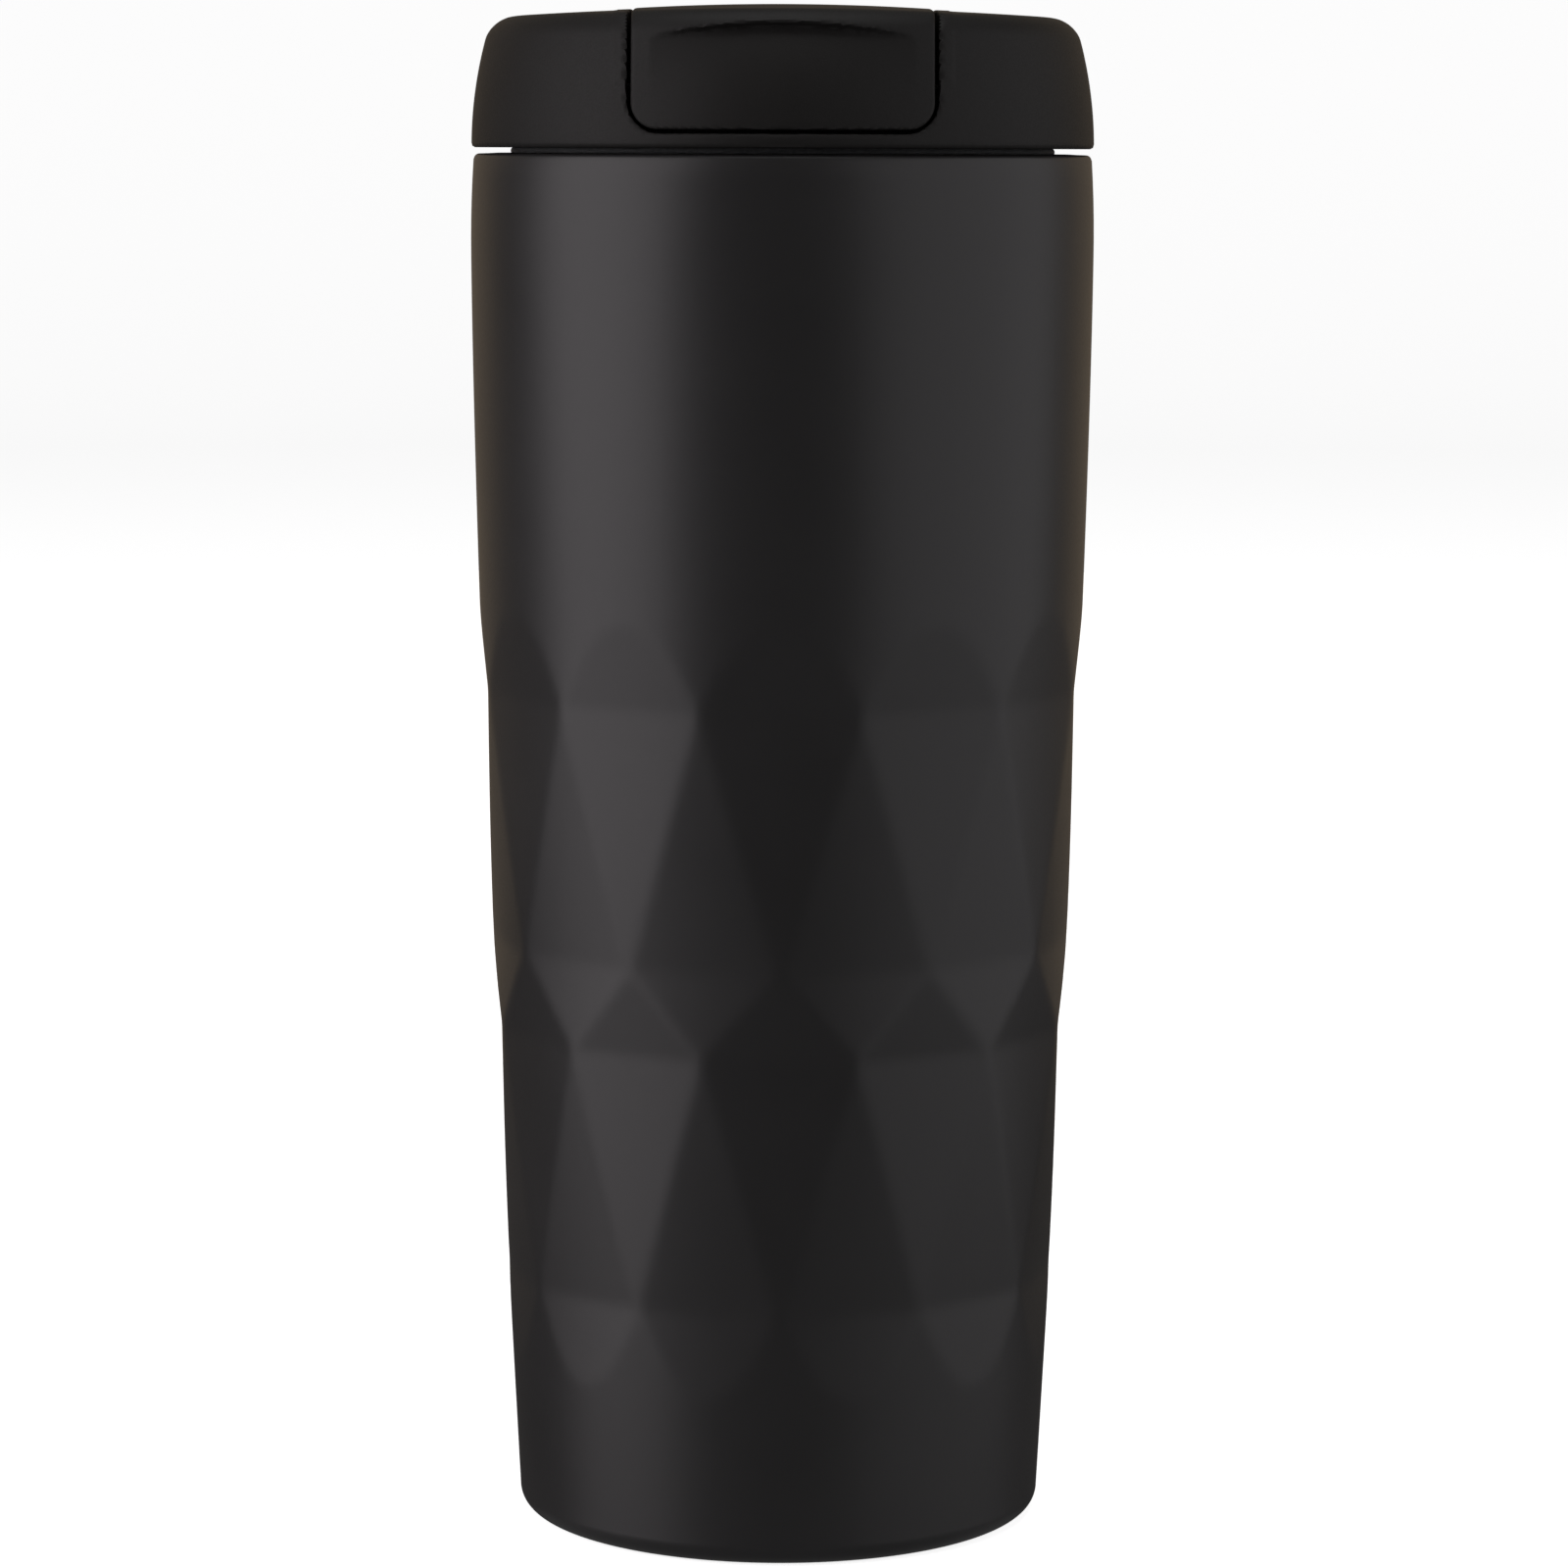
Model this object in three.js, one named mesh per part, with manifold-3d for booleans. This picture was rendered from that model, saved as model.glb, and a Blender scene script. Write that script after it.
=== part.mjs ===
// Insulated tumbler with a push-fit lid and a flip-up drinking flap.
//
// Millimetres, +Z up. The origin is the centre of the face the tumbler stands on,
// and the front of the tumbler, where the flap opens, looks along -Y.
// The body is a double-walled steel cup with a pressed facet pattern. The lid plugs
// into its mouth on a silicone ring, and the flap swings up about a pin at its rear.

import * as THREE from 'three';
import { mergeVertices } from 'three/addons/utils/BufferGeometryUtils.js';
import Module from 'manifold-3d';

const wasm = await Module();
wasm.setup();

// ---------------------------------------------------------------- driving sizes

const AROUND = 48;               // flats round every large turned piece
const AROUND_SMALL = 20;         // and round the small ones
const FIT = 0.3;                 // gap between neighbouring pieces

// steel body
const BODY_HEIGHT = 173;         // floor to the top of the mouth
const WIDEST_RADIUS = 39.1;
const WIDEST_BELOW_MOUTH = 11;
const FOOT_INSET = 5.8;          // how much slimmer the foot is than the widest point
const TAPER_POWER = 1.46;        // 1 is a straight cone, more is a fuller belly
const FOOT_FILLET = 2.7;
const MOUTH_EASE = 0.4;          // how far the wall draws in again at the mouth
const RIM_ROUND = 0.7;
const RIM_RISE = 0.1;            // from the rounded rim up to the liner's lip
const SHELL_WALL = 0.5;
const LINER_WALL = 0.5;
const VACUUM_GAP = 3.7;

// pressed facets
const FACETS_AROUND = 12;
const FACET_FOOT = 31.6;         // height of the lowest row of corners
const SHORT_FACET = 10.7;
const TALL_FACET = 31.8;
const FACET_DEPTH = 0.85;        // depth of the middle of a crease

// liner
const LINER_FLOOR = 9;
const LINER_CORNER = 8;
const LIP_WIDTH = 0.7;
const LIP_HEIGHT = 0.8;

// base
const BASE_WELD = 6;             // height of the seam between shell and base
const STAND_RING = 3.1;          // width of the flat ring it stands on
const BASE_RECESS = 2;
const PORT_RADIUS = 1.2;
const PORT_DIMPLE_RADIUS = 8;
const PORT_DIMPLE_DEPTH = 1.2;
const BASE_COVER_SHEET = 0.8;
const GETTER_RADIUS = 4.5;
const GETTER_HEIGHT = 2.6;
const FOIL_SHEET = 0.12;
const FOIL_MARGIN = 16;          // bare length of liner above and below the foil

// lid
const LID_GAP = 0.65;            // between the mouth and the lid's skirt
const LID_HEIGHT = 17.35;
const LID_SHOULDER = 2.6;        // rounding between wall and top
const LID_LEAN = 3;              // how far the wall leans in over the lid's height
const LID_DOME = 1;              // how far the top drops to DOME_SPAN from the axis
const DOME_SPAN = 31;
const SKIRT_EDGE = 0.5;
const LID_WALL = 1.8;
const PLUG_DEPTH = 14;           // how far the plug reaches below the mouth
const PLUG_WALL = 1.8;
const SEAL_THICKNESS = 2.1;      // ring and ribs together
const SEAL_RIB = 0.6;
const PLUG_FLANGE = 2.6;         // height of the flange that holds the seal's foot
const LID_FLANGE = 1.5;          // thickness of the flange inside the skirt
const DECK_DROP = 10;            // from the lid's top down to the drinking deck
const DECK_EDGE = 0.6;

// flap
const FLAP_WIDTH = 36.2;
const FLAP_CORNER = 3.2;
const FLAP_WALL = 1.6;
const FLAP_PROUD = 0.4;
const FLAP_CROWN = 0.2;
const FLAP_ROOF = 2;
const APRON_BACKING = 2.2;       // extra thickness behind the thumb catch
const FLAP_GAP = 0.8;            // between the flap and the slot it lies in
const SLOT_SILL = 1.7;           // height of the skirt below the slot
const HINGE_INSET = 17;          // from the lid's side to the pin
const PIN_RADIUS = 1.25;
const KNUCKLE_RADIUS = 3.2;
const FLAP_NOSE = 4.9;           // rounding of the flap's rear end about the pin
const REAR_GAP = 1.3;
const PLATE_SHEET = 1.3;         // inner plate of the flap
const PLATE_DROP = 0.6;          // from the pin down to the plate's underside

// drinking opening and vent
const SPOUT_LENGTH = 15;
const SPOUT_WIDTH = 6.5;
const SPOUT_INSET = 9.6;         // from the drum's wall to the middle of the opening
const SPOUT_RIM = 1.2;
const RIM_WIDTH = 1.5;
const VENT_RADIUS = 1.3;
const VENT_Y = 4;
const STOPPER_LIP = 0.9;         // how far the stopper's lip reaches into the opening
const SPOUT_STEM = 2;
const VENT_STEM = 1.2;
const STEM_HEAD = 0.7;           // thickness of the head above the plate

// thumb catch in the front of the flap
const CATCH_HALF_WIDTH = 15.8;
const CATCH_DEPTH = 1.2;
const CATCH_FALL = 10;           // height over which the catch runs out
const CATCH_LEDGE = 2.8;         // from the flap's top down to the ledge

// ---------------------------------------------------------------- helpers

// A three.js geometry as one welded solid with its faces outward.
function solid(geometry) {
  let shape = geometry.index ? geometry : mergeVertices(geometry);
  shape = shape.clone();
  shape.deleteAttribute('normal');
  shape.deleteAttribute('uv');
  shape = mergeVertices(shape, 1e-4);
  const at = shape.attributes.position;
  const faces = [];
  for (let i = 0; i < shape.index.count; i += 3) {
    const [a, b, c] = [0, 1, 2].map((k) => shape.index.getX(i + k));
    if (a !== b && b !== c && c !== a) faces.push(a, b, c);
  }
  const corner = (i) => new THREE.Vector3().fromBufferAttribute(at, i);
  let volume = 0;
  for (let i = 0; i < faces.length; i += 3) {
    const [a, b, c] = [corner(faces[i]), corner(faces[i + 1]), corner(faces[i + 2])];
    volume += a.dot(b.cross(c));
  }
  if (volume < 0) faces.reverse();
  return new wasm.Manifold(new wasm.Mesh({
    numProp: 3,
    vertProperties: Float32Array.from(at.array),
    triVerts: Uint32Array.from(faces),
  }));
}

// A solid back as a three.js geometry.
function geometryOf(shape) {
  const mesh = shape.getMesh();
  const geometry = new THREE.BufferGeometry();
  geometry.setAttribute('position', new THREE.BufferAttribute(mesh.vertProperties, 3));
  geometry.setIndex(new THREE.BufferAttribute(mesh.triVerts, 1));
  return geometry;
}

// A turned solid from [radius, height] points, with the seam at the front.
function turned(points, flats = AROUND) {
  const outline = points.map(([r, z]) => new THREE.Vector2(r, z));
  const onAxis = points[0][0] === 0 && points[points.length - 1][0] === 0;
  if (!onAxis) outline.push(outline[0].clone());
  return new THREE.LatheGeometry(outline, flats).rotateX(Math.PI / 2);
}

// An XZ outline pushed from yFrom to yTo.
function alongY(shape, yFrom, yTo) {
  const settings = { depth: yTo - yFrom, bevelEnabled: false, curveSegments: 6 };
  const pushed = new THREE.ExtrudeGeometry(shape, settings);
  return solid(pushed.rotateX(Math.PI / 2).translate(0, yTo, 0));
}

// An XY outline pushed from zFrom to zTo.
function upwards(shape, zFrom, zTo) {
  const settings = { depth: zTo - zFrom, bevelEnabled: false, curveSegments: 8 };
  const pushed = new THREE.ExtrudeGeometry(shape, settings);
  return solid(pushed.translate(0, 0, zFrom));
}

// A round rod standing along Z through [0, y], its middle at z.
function rod(radius, length, y, z, flats = 16) {
  const round = new THREE.CylinderGeometry(radius, radius, length, flats);
  return solid(round.rotateX(Math.PI / 2).translate(0, y, z));
}

// A round bar lying along X through [y, z].
function bar(radius, halfLength, y, z, flats = 24) {
  const round = new THREE.CylinderGeometry(radius, radius, 2 * halfLength, flats);
  return solid(round.rotateZ(Math.PI / 2).translate(0, y, z));
}

function box([x0, y0, z0], [x1, y1, z1]) {
  const block = new THREE.BoxGeometry(x1 - x0, y1 - y0, z1 - z0);
  return solid(block.translate((x0 + x1) / 2, (y0 + y1) / 2, (z0 + z1) / 2));
}

// A slot outline with round ends, its long side along X, centred on y.
function roundEnded(length, width, y) {
  const r = width / 2;
  const reach = length / 2 - r;
  const shape = new THREE.Shape();
  shape.moveTo(-reach, y - r);
  shape.lineTo(reach, y - r);
  shape.absarc(reach, y, r, -Math.PI / 2, Math.PI / 2, false);
  shape.lineTo(-reach, y + r);
  shape.absarc(-reach, y, r, Math.PI / 2, Math.PI * 1.5, false);
  return shape;
}

// Points on an arc in the radius-height plane, angles in degrees from outward.
function arc(r, z, radius, from, to, steps) {
  return Array.from({ length: steps + 1 }, (_, i) => {
    const angle = THREE.MathUtils.degToRad(from + (to - from) * i / steps);
    return [r + radius * Math.cos(angle), z + radius * Math.sin(angle)];
  });
}

const group = new THREE.Group();

function add(name, shape, { color, roughness, metalness = 0 }) {
  const geometry = shape.isBufferGeometry ? geometryOf(solid(shape)) : geometryOf(shape);
  const material = new THREE.MeshStandardMaterial({ color, roughness, metalness });
  const mesh = new THREE.Mesh(geometry, material);
  mesh.name = name;
  group.add(mesh);
}

const PAINTED_STEEL = { color: 0x2b2a2b, roughness: 0.48, metalness: 0.2 };
const BARE_STEEL = { color: 0xb9bab8, roughness: 0.32, metalness: 1 };
const FOIL = { color: 0xc8c9cb, roughness: 0.25, metalness: 1 };
const SEAL_GLASS = { color: 0x4d5a58, roughness: 0.1 };
const GETTER_METAL = { color: 0x6d6a66, roughness: 0.7, metalness: 0.8 };
const BLACK_PLASTIC = { color: 0x1f1e1d, roughness: 0.55 };
const BLACK_SILICONE = { color: 0x171717, roughness: 0.7 };
const GREY_SILICONE = { color: 0x6c6e70, roughness: 0.6 };

// ---------------------------------------------------------------- body outline

const widestZ = BODY_HEIGHT - WIDEST_BELOW_MOUTH;

// Radius of the body before the facets are pressed in.
function bodyRadius(z) {
  if (z > widestZ) {
    const above = (z - widestZ) / WIDEST_BELOW_MOUTH;
    return WIDEST_RADIUS - MOUTH_EASE * above ** 2;
  }
  const below = (widestZ - z) / (widestZ - FOOT_FILLET);
  return WIDEST_RADIUS - FOOT_INSET * below ** TAPER_POWER;
}

// Heights of the rows of facet corners, from the foot up: a tall band of leaning triangles,
// a short one and a tall one. The wall is straight from row to row.
const facetRows = [FACET_FOOT];
for (const step of [TALL_FACET, SHORT_FACET, TALL_FACET]) {
  facetRows.push(facetRows[facetRows.length - 1] + step);
}
const facetsFrom = facetRows[0] - SHORT_FACET;
const facetsTo = facetRows[facetRows.length - 1] + SHORT_FACET;

// How far the facets sink the wall at an angle from the front and a height. The middle of
// each base sinks most, and the corners of a row sit half a facet round from the next row's.
// Past the first and last rows a short facet on each base runs out onto the round wall.
function facetDepth(angle, z) {
  const stepsRound = angle * FACETS_AROUND / (2 * Math.PI);
  const sunk = facetRows.map((row, i) => {
    const below = facetRows[i - 1] ?? facetsFrom;
    const above = facetRows[i + 1] ?? facetsTo;
    const share = z < row ? (z - below) / (row - below) : (above - z) / (above - row);
    const fromMiddle = stepsRound - (i + 1) % 2 * 0.5;
    return share - (2 * (fromMiddle - Math.round(fromMiddle))) ** 2;
  });
  return FACET_DEPTH * Math.max(...sunk, 0);
}

// Press the facets into a turned geometry. Each square of the wall is then folded along
// the diagonal that stands out further, so that the ridges run from corner to corner.
function pressFacets(geometry) {
  const at = geometry.attributes.position;
  for (let i = 0; i < at.count; i += 1) {
    const angle = Math.atan2(at.getX(i), -at.getY(i));
    const radius = Math.hypot(at.getX(i), at.getY(i));
    const pressed = (radius - facetDepth(angle, at.getZ(i))) / radius;
    at.setXY(i, at.getX(i) * pressed, at.getY(i) * pressed);
  }
  const standOut = (i, j) => Math.hypot(at.getX(i) + at.getX(j), at.getY(i) + at.getY(j));
  const faces = geometry.index;
  for (let i = 0; i < faces.count; i += 6) {
    const [a, b, d, c] = [0, 1, 2, 3].map((k) => faces.getX(i + k));
    if (standOut(a, c) <= standOut(b, d)) continue;
    [a, b, c, a, c, d].forEach((corner, k) => faces.setX(i + k, corner));
  }
  return geometry;
}

// ---------------------------------------------------------------- steel body

const wallTotal = SHELL_WALL + VACUUM_GAP + LINER_WALL;
const mouthRadius = WIDEST_RADIUS - wallTotal;
const linerRadius = (z) => bodyRadius(Math.min(z, widestZ)) - wallTotal;
const lipOuter = mouthRadius + LIP_WIDTH;

// Outer shell: facetted wall, rounded rim and a shoulder that runs in to the liner's lip.
{
  const wallHeights = [BASE_WELD + FIT / 2, facetsFrom];
  for (const z of [...facetRows, facetsTo]) {
    wallHeights.push((wallHeights[wallHeights.length - 1] + z) / 2, z);
  }
  const rimZ = BODY_HEIGHT - RIM_RISE;
  for (const share of [0.45, 0.8, 1]) {
    wallHeights.push(facetsTo + share * (rimZ - RIM_ROUND - facetsTo));
  }
  const rimRadius = bodyRadius(rimZ) - RIM_ROUND;
  const shoulderIn = lipOuter + FIT;
  const outside = wallHeights.map((z) => [bodyRadius(z), z]);
  const rim = arc(rimRadius, rimZ - RIM_ROUND, RIM_ROUND, 30, 90, 2);
  const shoulder = [[shoulderIn, BODY_HEIGHT], [shoulderIn, BODY_HEIGHT - SHELL_WALL]];
  const underRim = [[rimRadius - SHELL_WALL, rimZ - SHELL_WALL]];
  const inside = wallHeights.map((z) => [bodyRadius(z) - SHELL_WALL, z]).reverse();
  const wall = turned([...outside, ...rim, ...shoulder, ...underRim, ...inside]);
  add('outer_shell', pressFacets(wall), PAINTED_STEEL);
}

// Inner liner: plain drawn cup with a rounded floor and a small outward lip.
{
  const floorRadius = linerRadius(LINER_FLOOR + LINER_CORNER) - LINER_CORNER;
  const heights = [0, 0.25, 0.5, 0.75, 1].map((share) => {
    const from = LINER_FLOOR + LINER_CORNER;
    return from + share * (widestZ - from);
  });
  const inside = [
    [0, LINER_FLOOR],
    ...arc(floorRadius, LINER_FLOOR + LINER_CORNER, LINER_CORNER, -90, -18, 4),
    ...heights.map((z) => [linerRadius(z), z]),
    [mouthRadius, BODY_HEIGHT],
  ];
  const outside = [
    [lipOuter, BODY_HEIGHT],
    [lipOuter, BODY_HEIGHT - LIP_HEIGHT],
    [mouthRadius + LINER_WALL, BODY_HEIGHT - LIP_HEIGHT],
    ...heights.map((z) => [linerRadius(z) + LINER_WALL, z]).reverse(),
    ...arc(floorRadius, LINER_FLOOR + LINER_CORNER, LINER_CORNER + LINER_WALL, -18, -90, 4),
    [0, LINER_FLOOR - LINER_WALL],
  ];
  add('inner_liner', turned([...inside, ...outside]), BARE_STEEL);
}

// Heat-shield foil wrapped round the liner inside the vacuum.
{
  const from = LINER_FLOOR + FOIL_MARGIN;
  const heights = [0, 0.33, 0.66, 1].map((share) => from + share * (widestZ - FOIL_MARGIN - from));
  const lying = heights.map((z) => [linerRadius(z) + LINER_WALL + FIT, z]);
  const over = lying.map(([r, z]) => [r + FOIL_SHEET, z]).reverse();
  add('foil_wrap', turned([...over, ...lying]), FOIL);
}

// Outer base: pressed dish with the foot fillet, the standing ring and the vacuum port.
const ringOuter = WIDEST_RADIUS - FOOT_INSET - FOOT_FILLET;
const ringInner = ringOuter - STAND_RING;
{
  const weldZ = BASE_WELD - FIT / 2;
  const dimpleZ = BASE_RECESS + PORT_DIMPLE_DEPTH;
  add('outer_base', turned([
    [bodyRadius(weldZ), weldZ],
    ...arc(ringOuter, FOOT_FILLET, FOOT_FILLET, 0, -90, 4),
    [ringInner, 0],
    [ringInner, BASE_RECESS],
    [PORT_DIMPLE_RADIUS, BASE_RECESS],
    [PORT_DIMPLE_RADIUS - PORT_DIMPLE_DEPTH, dimpleZ],
    [PORT_RADIUS, dimpleZ],
    [PORT_RADIUS, dimpleZ + SHELL_WALL],
    [PORT_DIMPLE_RADIUS - PORT_DIMPLE_DEPTH, dimpleZ + SHELL_WALL],
    [PORT_DIMPLE_RADIUS, BASE_RECESS + SHELL_WALL],
    [ringInner + SHELL_WALL, BASE_RECESS + SHELL_WALL],
    [ringInner + SHELL_WALL, SHELL_WALL],
    ...arc(ringOuter, FOOT_FILLET, FOOT_FILLET - SHELL_WALL, -90, 0, 4),
    [bodyRadius(weldZ) - SHELL_WALL, weldZ],
  ]), PAINTED_STEEL);

  // Glass bead melted into the port once the air is out.
  const beadTop = dimpleZ - FIT;
  const beadRadius = 2.6 * PORT_RADIUS;
  add('port_seal', turned([
    [0, beadTop - PORT_RADIUS],
    [beadRadius * 0.8, beadTop - PORT_RADIUS * 0.85],
    [beadRadius, beadTop - PORT_RADIUS * 0.4],
    [beadRadius, beadTop],
    [PORT_RADIUS - FIT, beadTop],
    [PORT_RADIUS - FIT, dimpleZ + SHELL_WALL],
    [0, dimpleZ + SHELL_WALL],
  ], AROUND_SMALL), SEAL_GLASS);
}

// Base cover: disc glued into the recess, over the port.
{
  const radius = ringInner - FIT;
  const top = BASE_RECESS - 2 * FIT;
  const under = top - BASE_COVER_SHEET;
  const disc = [[0, under], [radius - FIT, under], [radius, under + FIT], [radius, top], [0, top]];
  add('base_cover', turned(disc), PAINTED_STEEL);
}

// Getter: a pellet that soaks up stray gas, in its own little cup on the base.
{
  const middle = (PORT_DIMPLE_RADIUS + ringInner) / 2;
  const floor = BASE_RECESS + SHELL_WALL + FIT;
  const inner = GETTER_RADIUS - SHELL_WALL;
  const cup = turned([
    [0, floor],
    [GETTER_RADIUS, floor],
    [GETTER_RADIUS, floor + GETTER_HEIGHT],
    [inner, floor + GETTER_HEIGHT],
    [inner, floor + SHELL_WALL],
    [0, floor + SHELL_WALL],
  ], AROUND_SMALL);
  add('getter_cup', cup.translate(middle, 0, 0), BARE_STEEL);
  const under = floor + SHELL_WALL + FIT;
  const pellet = turned([
    [0, under],
    [inner - FIT, under],
    [inner - FIT, floor + GETTER_HEIGHT - FIT],
    [0, floor + GETTER_HEIGHT - FIT],
  ], AROUND_SMALL);
  add('getter_pellet', pellet.translate(middle, 0, 0), GETTER_METAL);
}

// ---------------------------------------------------------------- lid outline

const lidRadius = WIDEST_RADIUS - MOUTH_EASE / 4;
const lidZ = BODY_HEIGHT + LID_GAP;
const lidTop = lidZ + LID_HEIGHT;
const lidWallRadius = (z) => lidRadius - LID_LEAN * ((z - lidZ) / LID_HEIGHT) ** 2;
const domeDrop = (r) => LID_DOME * (r / DOME_SPAN) ** 2;
const shoulderZ = lidTop - domeDrop(lidWallRadius(lidTop)) - LID_SHOULDER;
const domeEdge = lidWallRadius(shoulderZ) - 1.3 * LID_SHOULDER;

// Lid outline from the skirt to the middle of the top. The wall is brought in by inset
// and the top is lifted by lift; the shoulder blends the two.
function lidOutline(inset, lift) {
  const wall = [0.3, 0.6, 1].map((share) => {
    const z = lidZ + share * (shoulderZ - lidZ);
    return [lidWallRadius(z) - inset, z];
  });
  const [startR, startZ] = wall[wall.length - 1];
  const top = (r) => lidTop + lift - domeDrop(r);
  const endR = domeEdge - inset;
  const pullR = endR + 0.4 * (startR - endR);
  const shoulder = new THREE.CubicBezierCurve(
    new THREE.Vector2(startR, startZ),
    new THREE.Vector2(startR - 0.15 * LID_SHOULDER, startZ + 0.55 * (top(endR) - startZ)),
    new THREE.Vector2(pullR, top(pullR)),
    new THREE.Vector2(endR, top(endR)),
  );
  const rounding = shoulder.getPoints(5).slice(1).map((p) => [p.x, p.y]);
  const dome = [0.75, 0.5, 0.25, 0].map((share) => [share * endR, top(share * endR)]);
  return [...wall, ...rounding, ...dome];
}

const plugRadius = mouthRadius - FIT - SEAL_THICKNESS;
const plugFoot = BODY_HEIGHT - PLUG_DEPTH;
const deckZ = lidTop - DECK_DROP;
const flangeZ = lidZ + FIT + 0.1;
const flangeTop = flangeZ + LID_FLANGE;
const flangeRadius = lidRadius - LID_WALL - FIT - 0.1;
const drumRadius = lidRadius - LID_WALL - 1.6;
const hingeY = lidRadius - HINGE_INSET;
const hingeZ = lidTop + FLAP_PROUD - domeDrop(hingeY) - FLAP_NOSE;
const slotHalf = FLAP_WIDTH / 2 + FLAP_GAP;
const slotEnd = hingeY + FLAP_NOSE + REAR_GAP;
const slotZ = lidZ + SLOT_SILL;

// Front outline of the flap, or of the slot when it is grown by the gap.
function flapFront(grow, topAt, crown) {
  const half = FLAP_WIDTH / 2 + grow;
  const corner = FLAP_CORNER + grow;
  const foot = slotZ + FLAP_GAP - grow;
  const shape = new THREE.Shape();
  shape.moveTo(-half, topAt - crown);
  shape.lineTo(-half, foot + corner);
  shape.absarc(-half + corner, foot + corner, corner, Math.PI, Math.PI * 1.5, false);
  shape.lineTo(half - corner, foot);
  shape.absarc(half - corner, foot + corner, corner, -Math.PI / 2, 0, false);
  shape.lineTo(half, topAt - crown);
  if (crown > 0) shape.quadraticCurveTo(0, topAt + crown, -half, topAt - crown);
  return shape;
}

// Lid cover: the outer moulding, with the slot for the flap and the well round it.
{
  const outside = solid(turned([
    [0, lidZ],
    [lidRadius - SKIRT_EDGE, lidZ],
    [lidRadius, lidZ + SKIRT_EDGE],
    ...lidOutline(0, 0),
  ]));
  const hollow = solid(turned([
    [0, lidZ - 1],
    [lidRadius - LID_WALL, lidZ - 1],
    ...lidOutline(LID_WALL, -LID_WALL),
  ]));
  const wellHalf = slotHalf + FLAP_WALL;
  const well = box([-wellHalf, -lidRadius, deckZ + FIT], [wellHalf, slotEnd + FLAP_WALL, lidTop + 1]);
  const slot = alongY(flapFront(FLAP_GAP, lidTop + 5, 0), -lidRadius - 1, slotEnd);
  const pinHoles = bar(PIN_RADIUS + FIT, wellHalf + 1, hingeY, hingeZ);
  const cover = outside.subtract(hollow).add(well.intersect(outside)).subtract(slot).subtract(pinHoles);
  add('lid_cover', cover, BLACK_PLASTIC);
}

// Lid body: drinking deck, drum, flange and the plug that goes into the mouth.
{
  const turnedBody = solid(turned([
    [0, deckZ],
    [drumRadius - DECK_EDGE, deckZ],
    [drumRadius, deckZ - DECK_EDGE],
    [drumRadius, flangeTop],
    [flangeRadius, flangeTop],
    [flangeRadius, flangeZ],
    [plugRadius, flangeZ],
    [plugRadius, plugFoot + PLUG_FLANGE],
    [plugRadius + SEAL_THICKNESS - SEAL_RIB, plugFoot + PLUG_FLANGE],
    [plugRadius + SEAL_THICKNESS - SEAL_RIB, plugFoot + DECK_EDGE],
    [plugRadius + SEAL_THICKNESS - SEAL_RIB - DECK_EDGE, plugFoot],
    [plugRadius - PLUG_WALL, plugFoot],
    [plugRadius - PLUG_WALL, flangeZ - FIT],
    [drumRadius - PLUG_WALL, flangeTop + FIT],
    [drumRadius - PLUG_WALL, deckZ - PLUG_WALL],
    [0, deckZ - PLUG_WALL],
  ]));
  const spoutY = SPOUT_INSET - drumRadius;
  const opening = roundEnded(SPOUT_LENGTH, SPOUT_WIDTH, spoutY);
  const spout = upwards(opening, deckZ - 4, deckZ + 4);
  const rimOutline = roundEnded(SPOUT_LENGTH + 2 * RIM_WIDTH, SPOUT_WIDTH + 2 * RIM_WIDTH, spoutY);
  const rim = upwards(rimOutline, deckZ - PLUG_WALL / 2, deckZ + SPOUT_RIM);
  const vent = rod(VENT_RADIUS, 8, VENT_Y, deckZ);
  const ventRim = rod(2 * VENT_RADIUS, SPOUT_RIM, VENT_Y, deckZ);
  add('lid_body', turnedBody.add(rim).add(ventRim).subtract(spout).subtract(vent), BLACK_PLASTIC);
}

// Mouth gasket: ribbed silicone ring on the plug. Its top bead shows in the gap under the lid.
{
  const inner = plugRadius + FIT;
  const ring = mouthRadius - FIT - SEAL_RIB;
  const rib = mouthRadius - FIT;
  const foot = plugFoot + PLUG_FLANGE + FIT;
  const top = flangeZ - FIT;
  const ribs = [0.22, 0.55].flatMap((share) => {
    const z = foot + share * (top - foot);
    return [[ring, z - SEAL_RIB], [rib, z], [ring, z + SEAL_RIB]];
  });
  add('mouth_gasket', turned([
    [inner, foot],
    [ring, foot],
    ...ribs,
    [ring, top - 2 * SEAL_RIB],
    [rib, top - 1.4 * SEAL_RIB],
    [rib, top - 0.4 * SEAL_RIB],
    [rib - 0.4 * SEAL_RIB, top],
    [inner, top],
  ]), GREY_SILICONE);
}

// ---------------------------------------------------------------- flap

const flapTop = lidTop + FLAP_PROUD;
const apronInner = drumRadius + 1.6 * FIT;
const roofUnder = flapTop - FLAP_ROOF - domeDrop(apronInner);
const sideFoot = hingeZ - KNUCKLE_RADIUS;
const insideHalf = FLAP_WIDTH / 2 - FLAP_WALL;
const pocketRadius = apronInner - APRON_BACKING;

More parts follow.
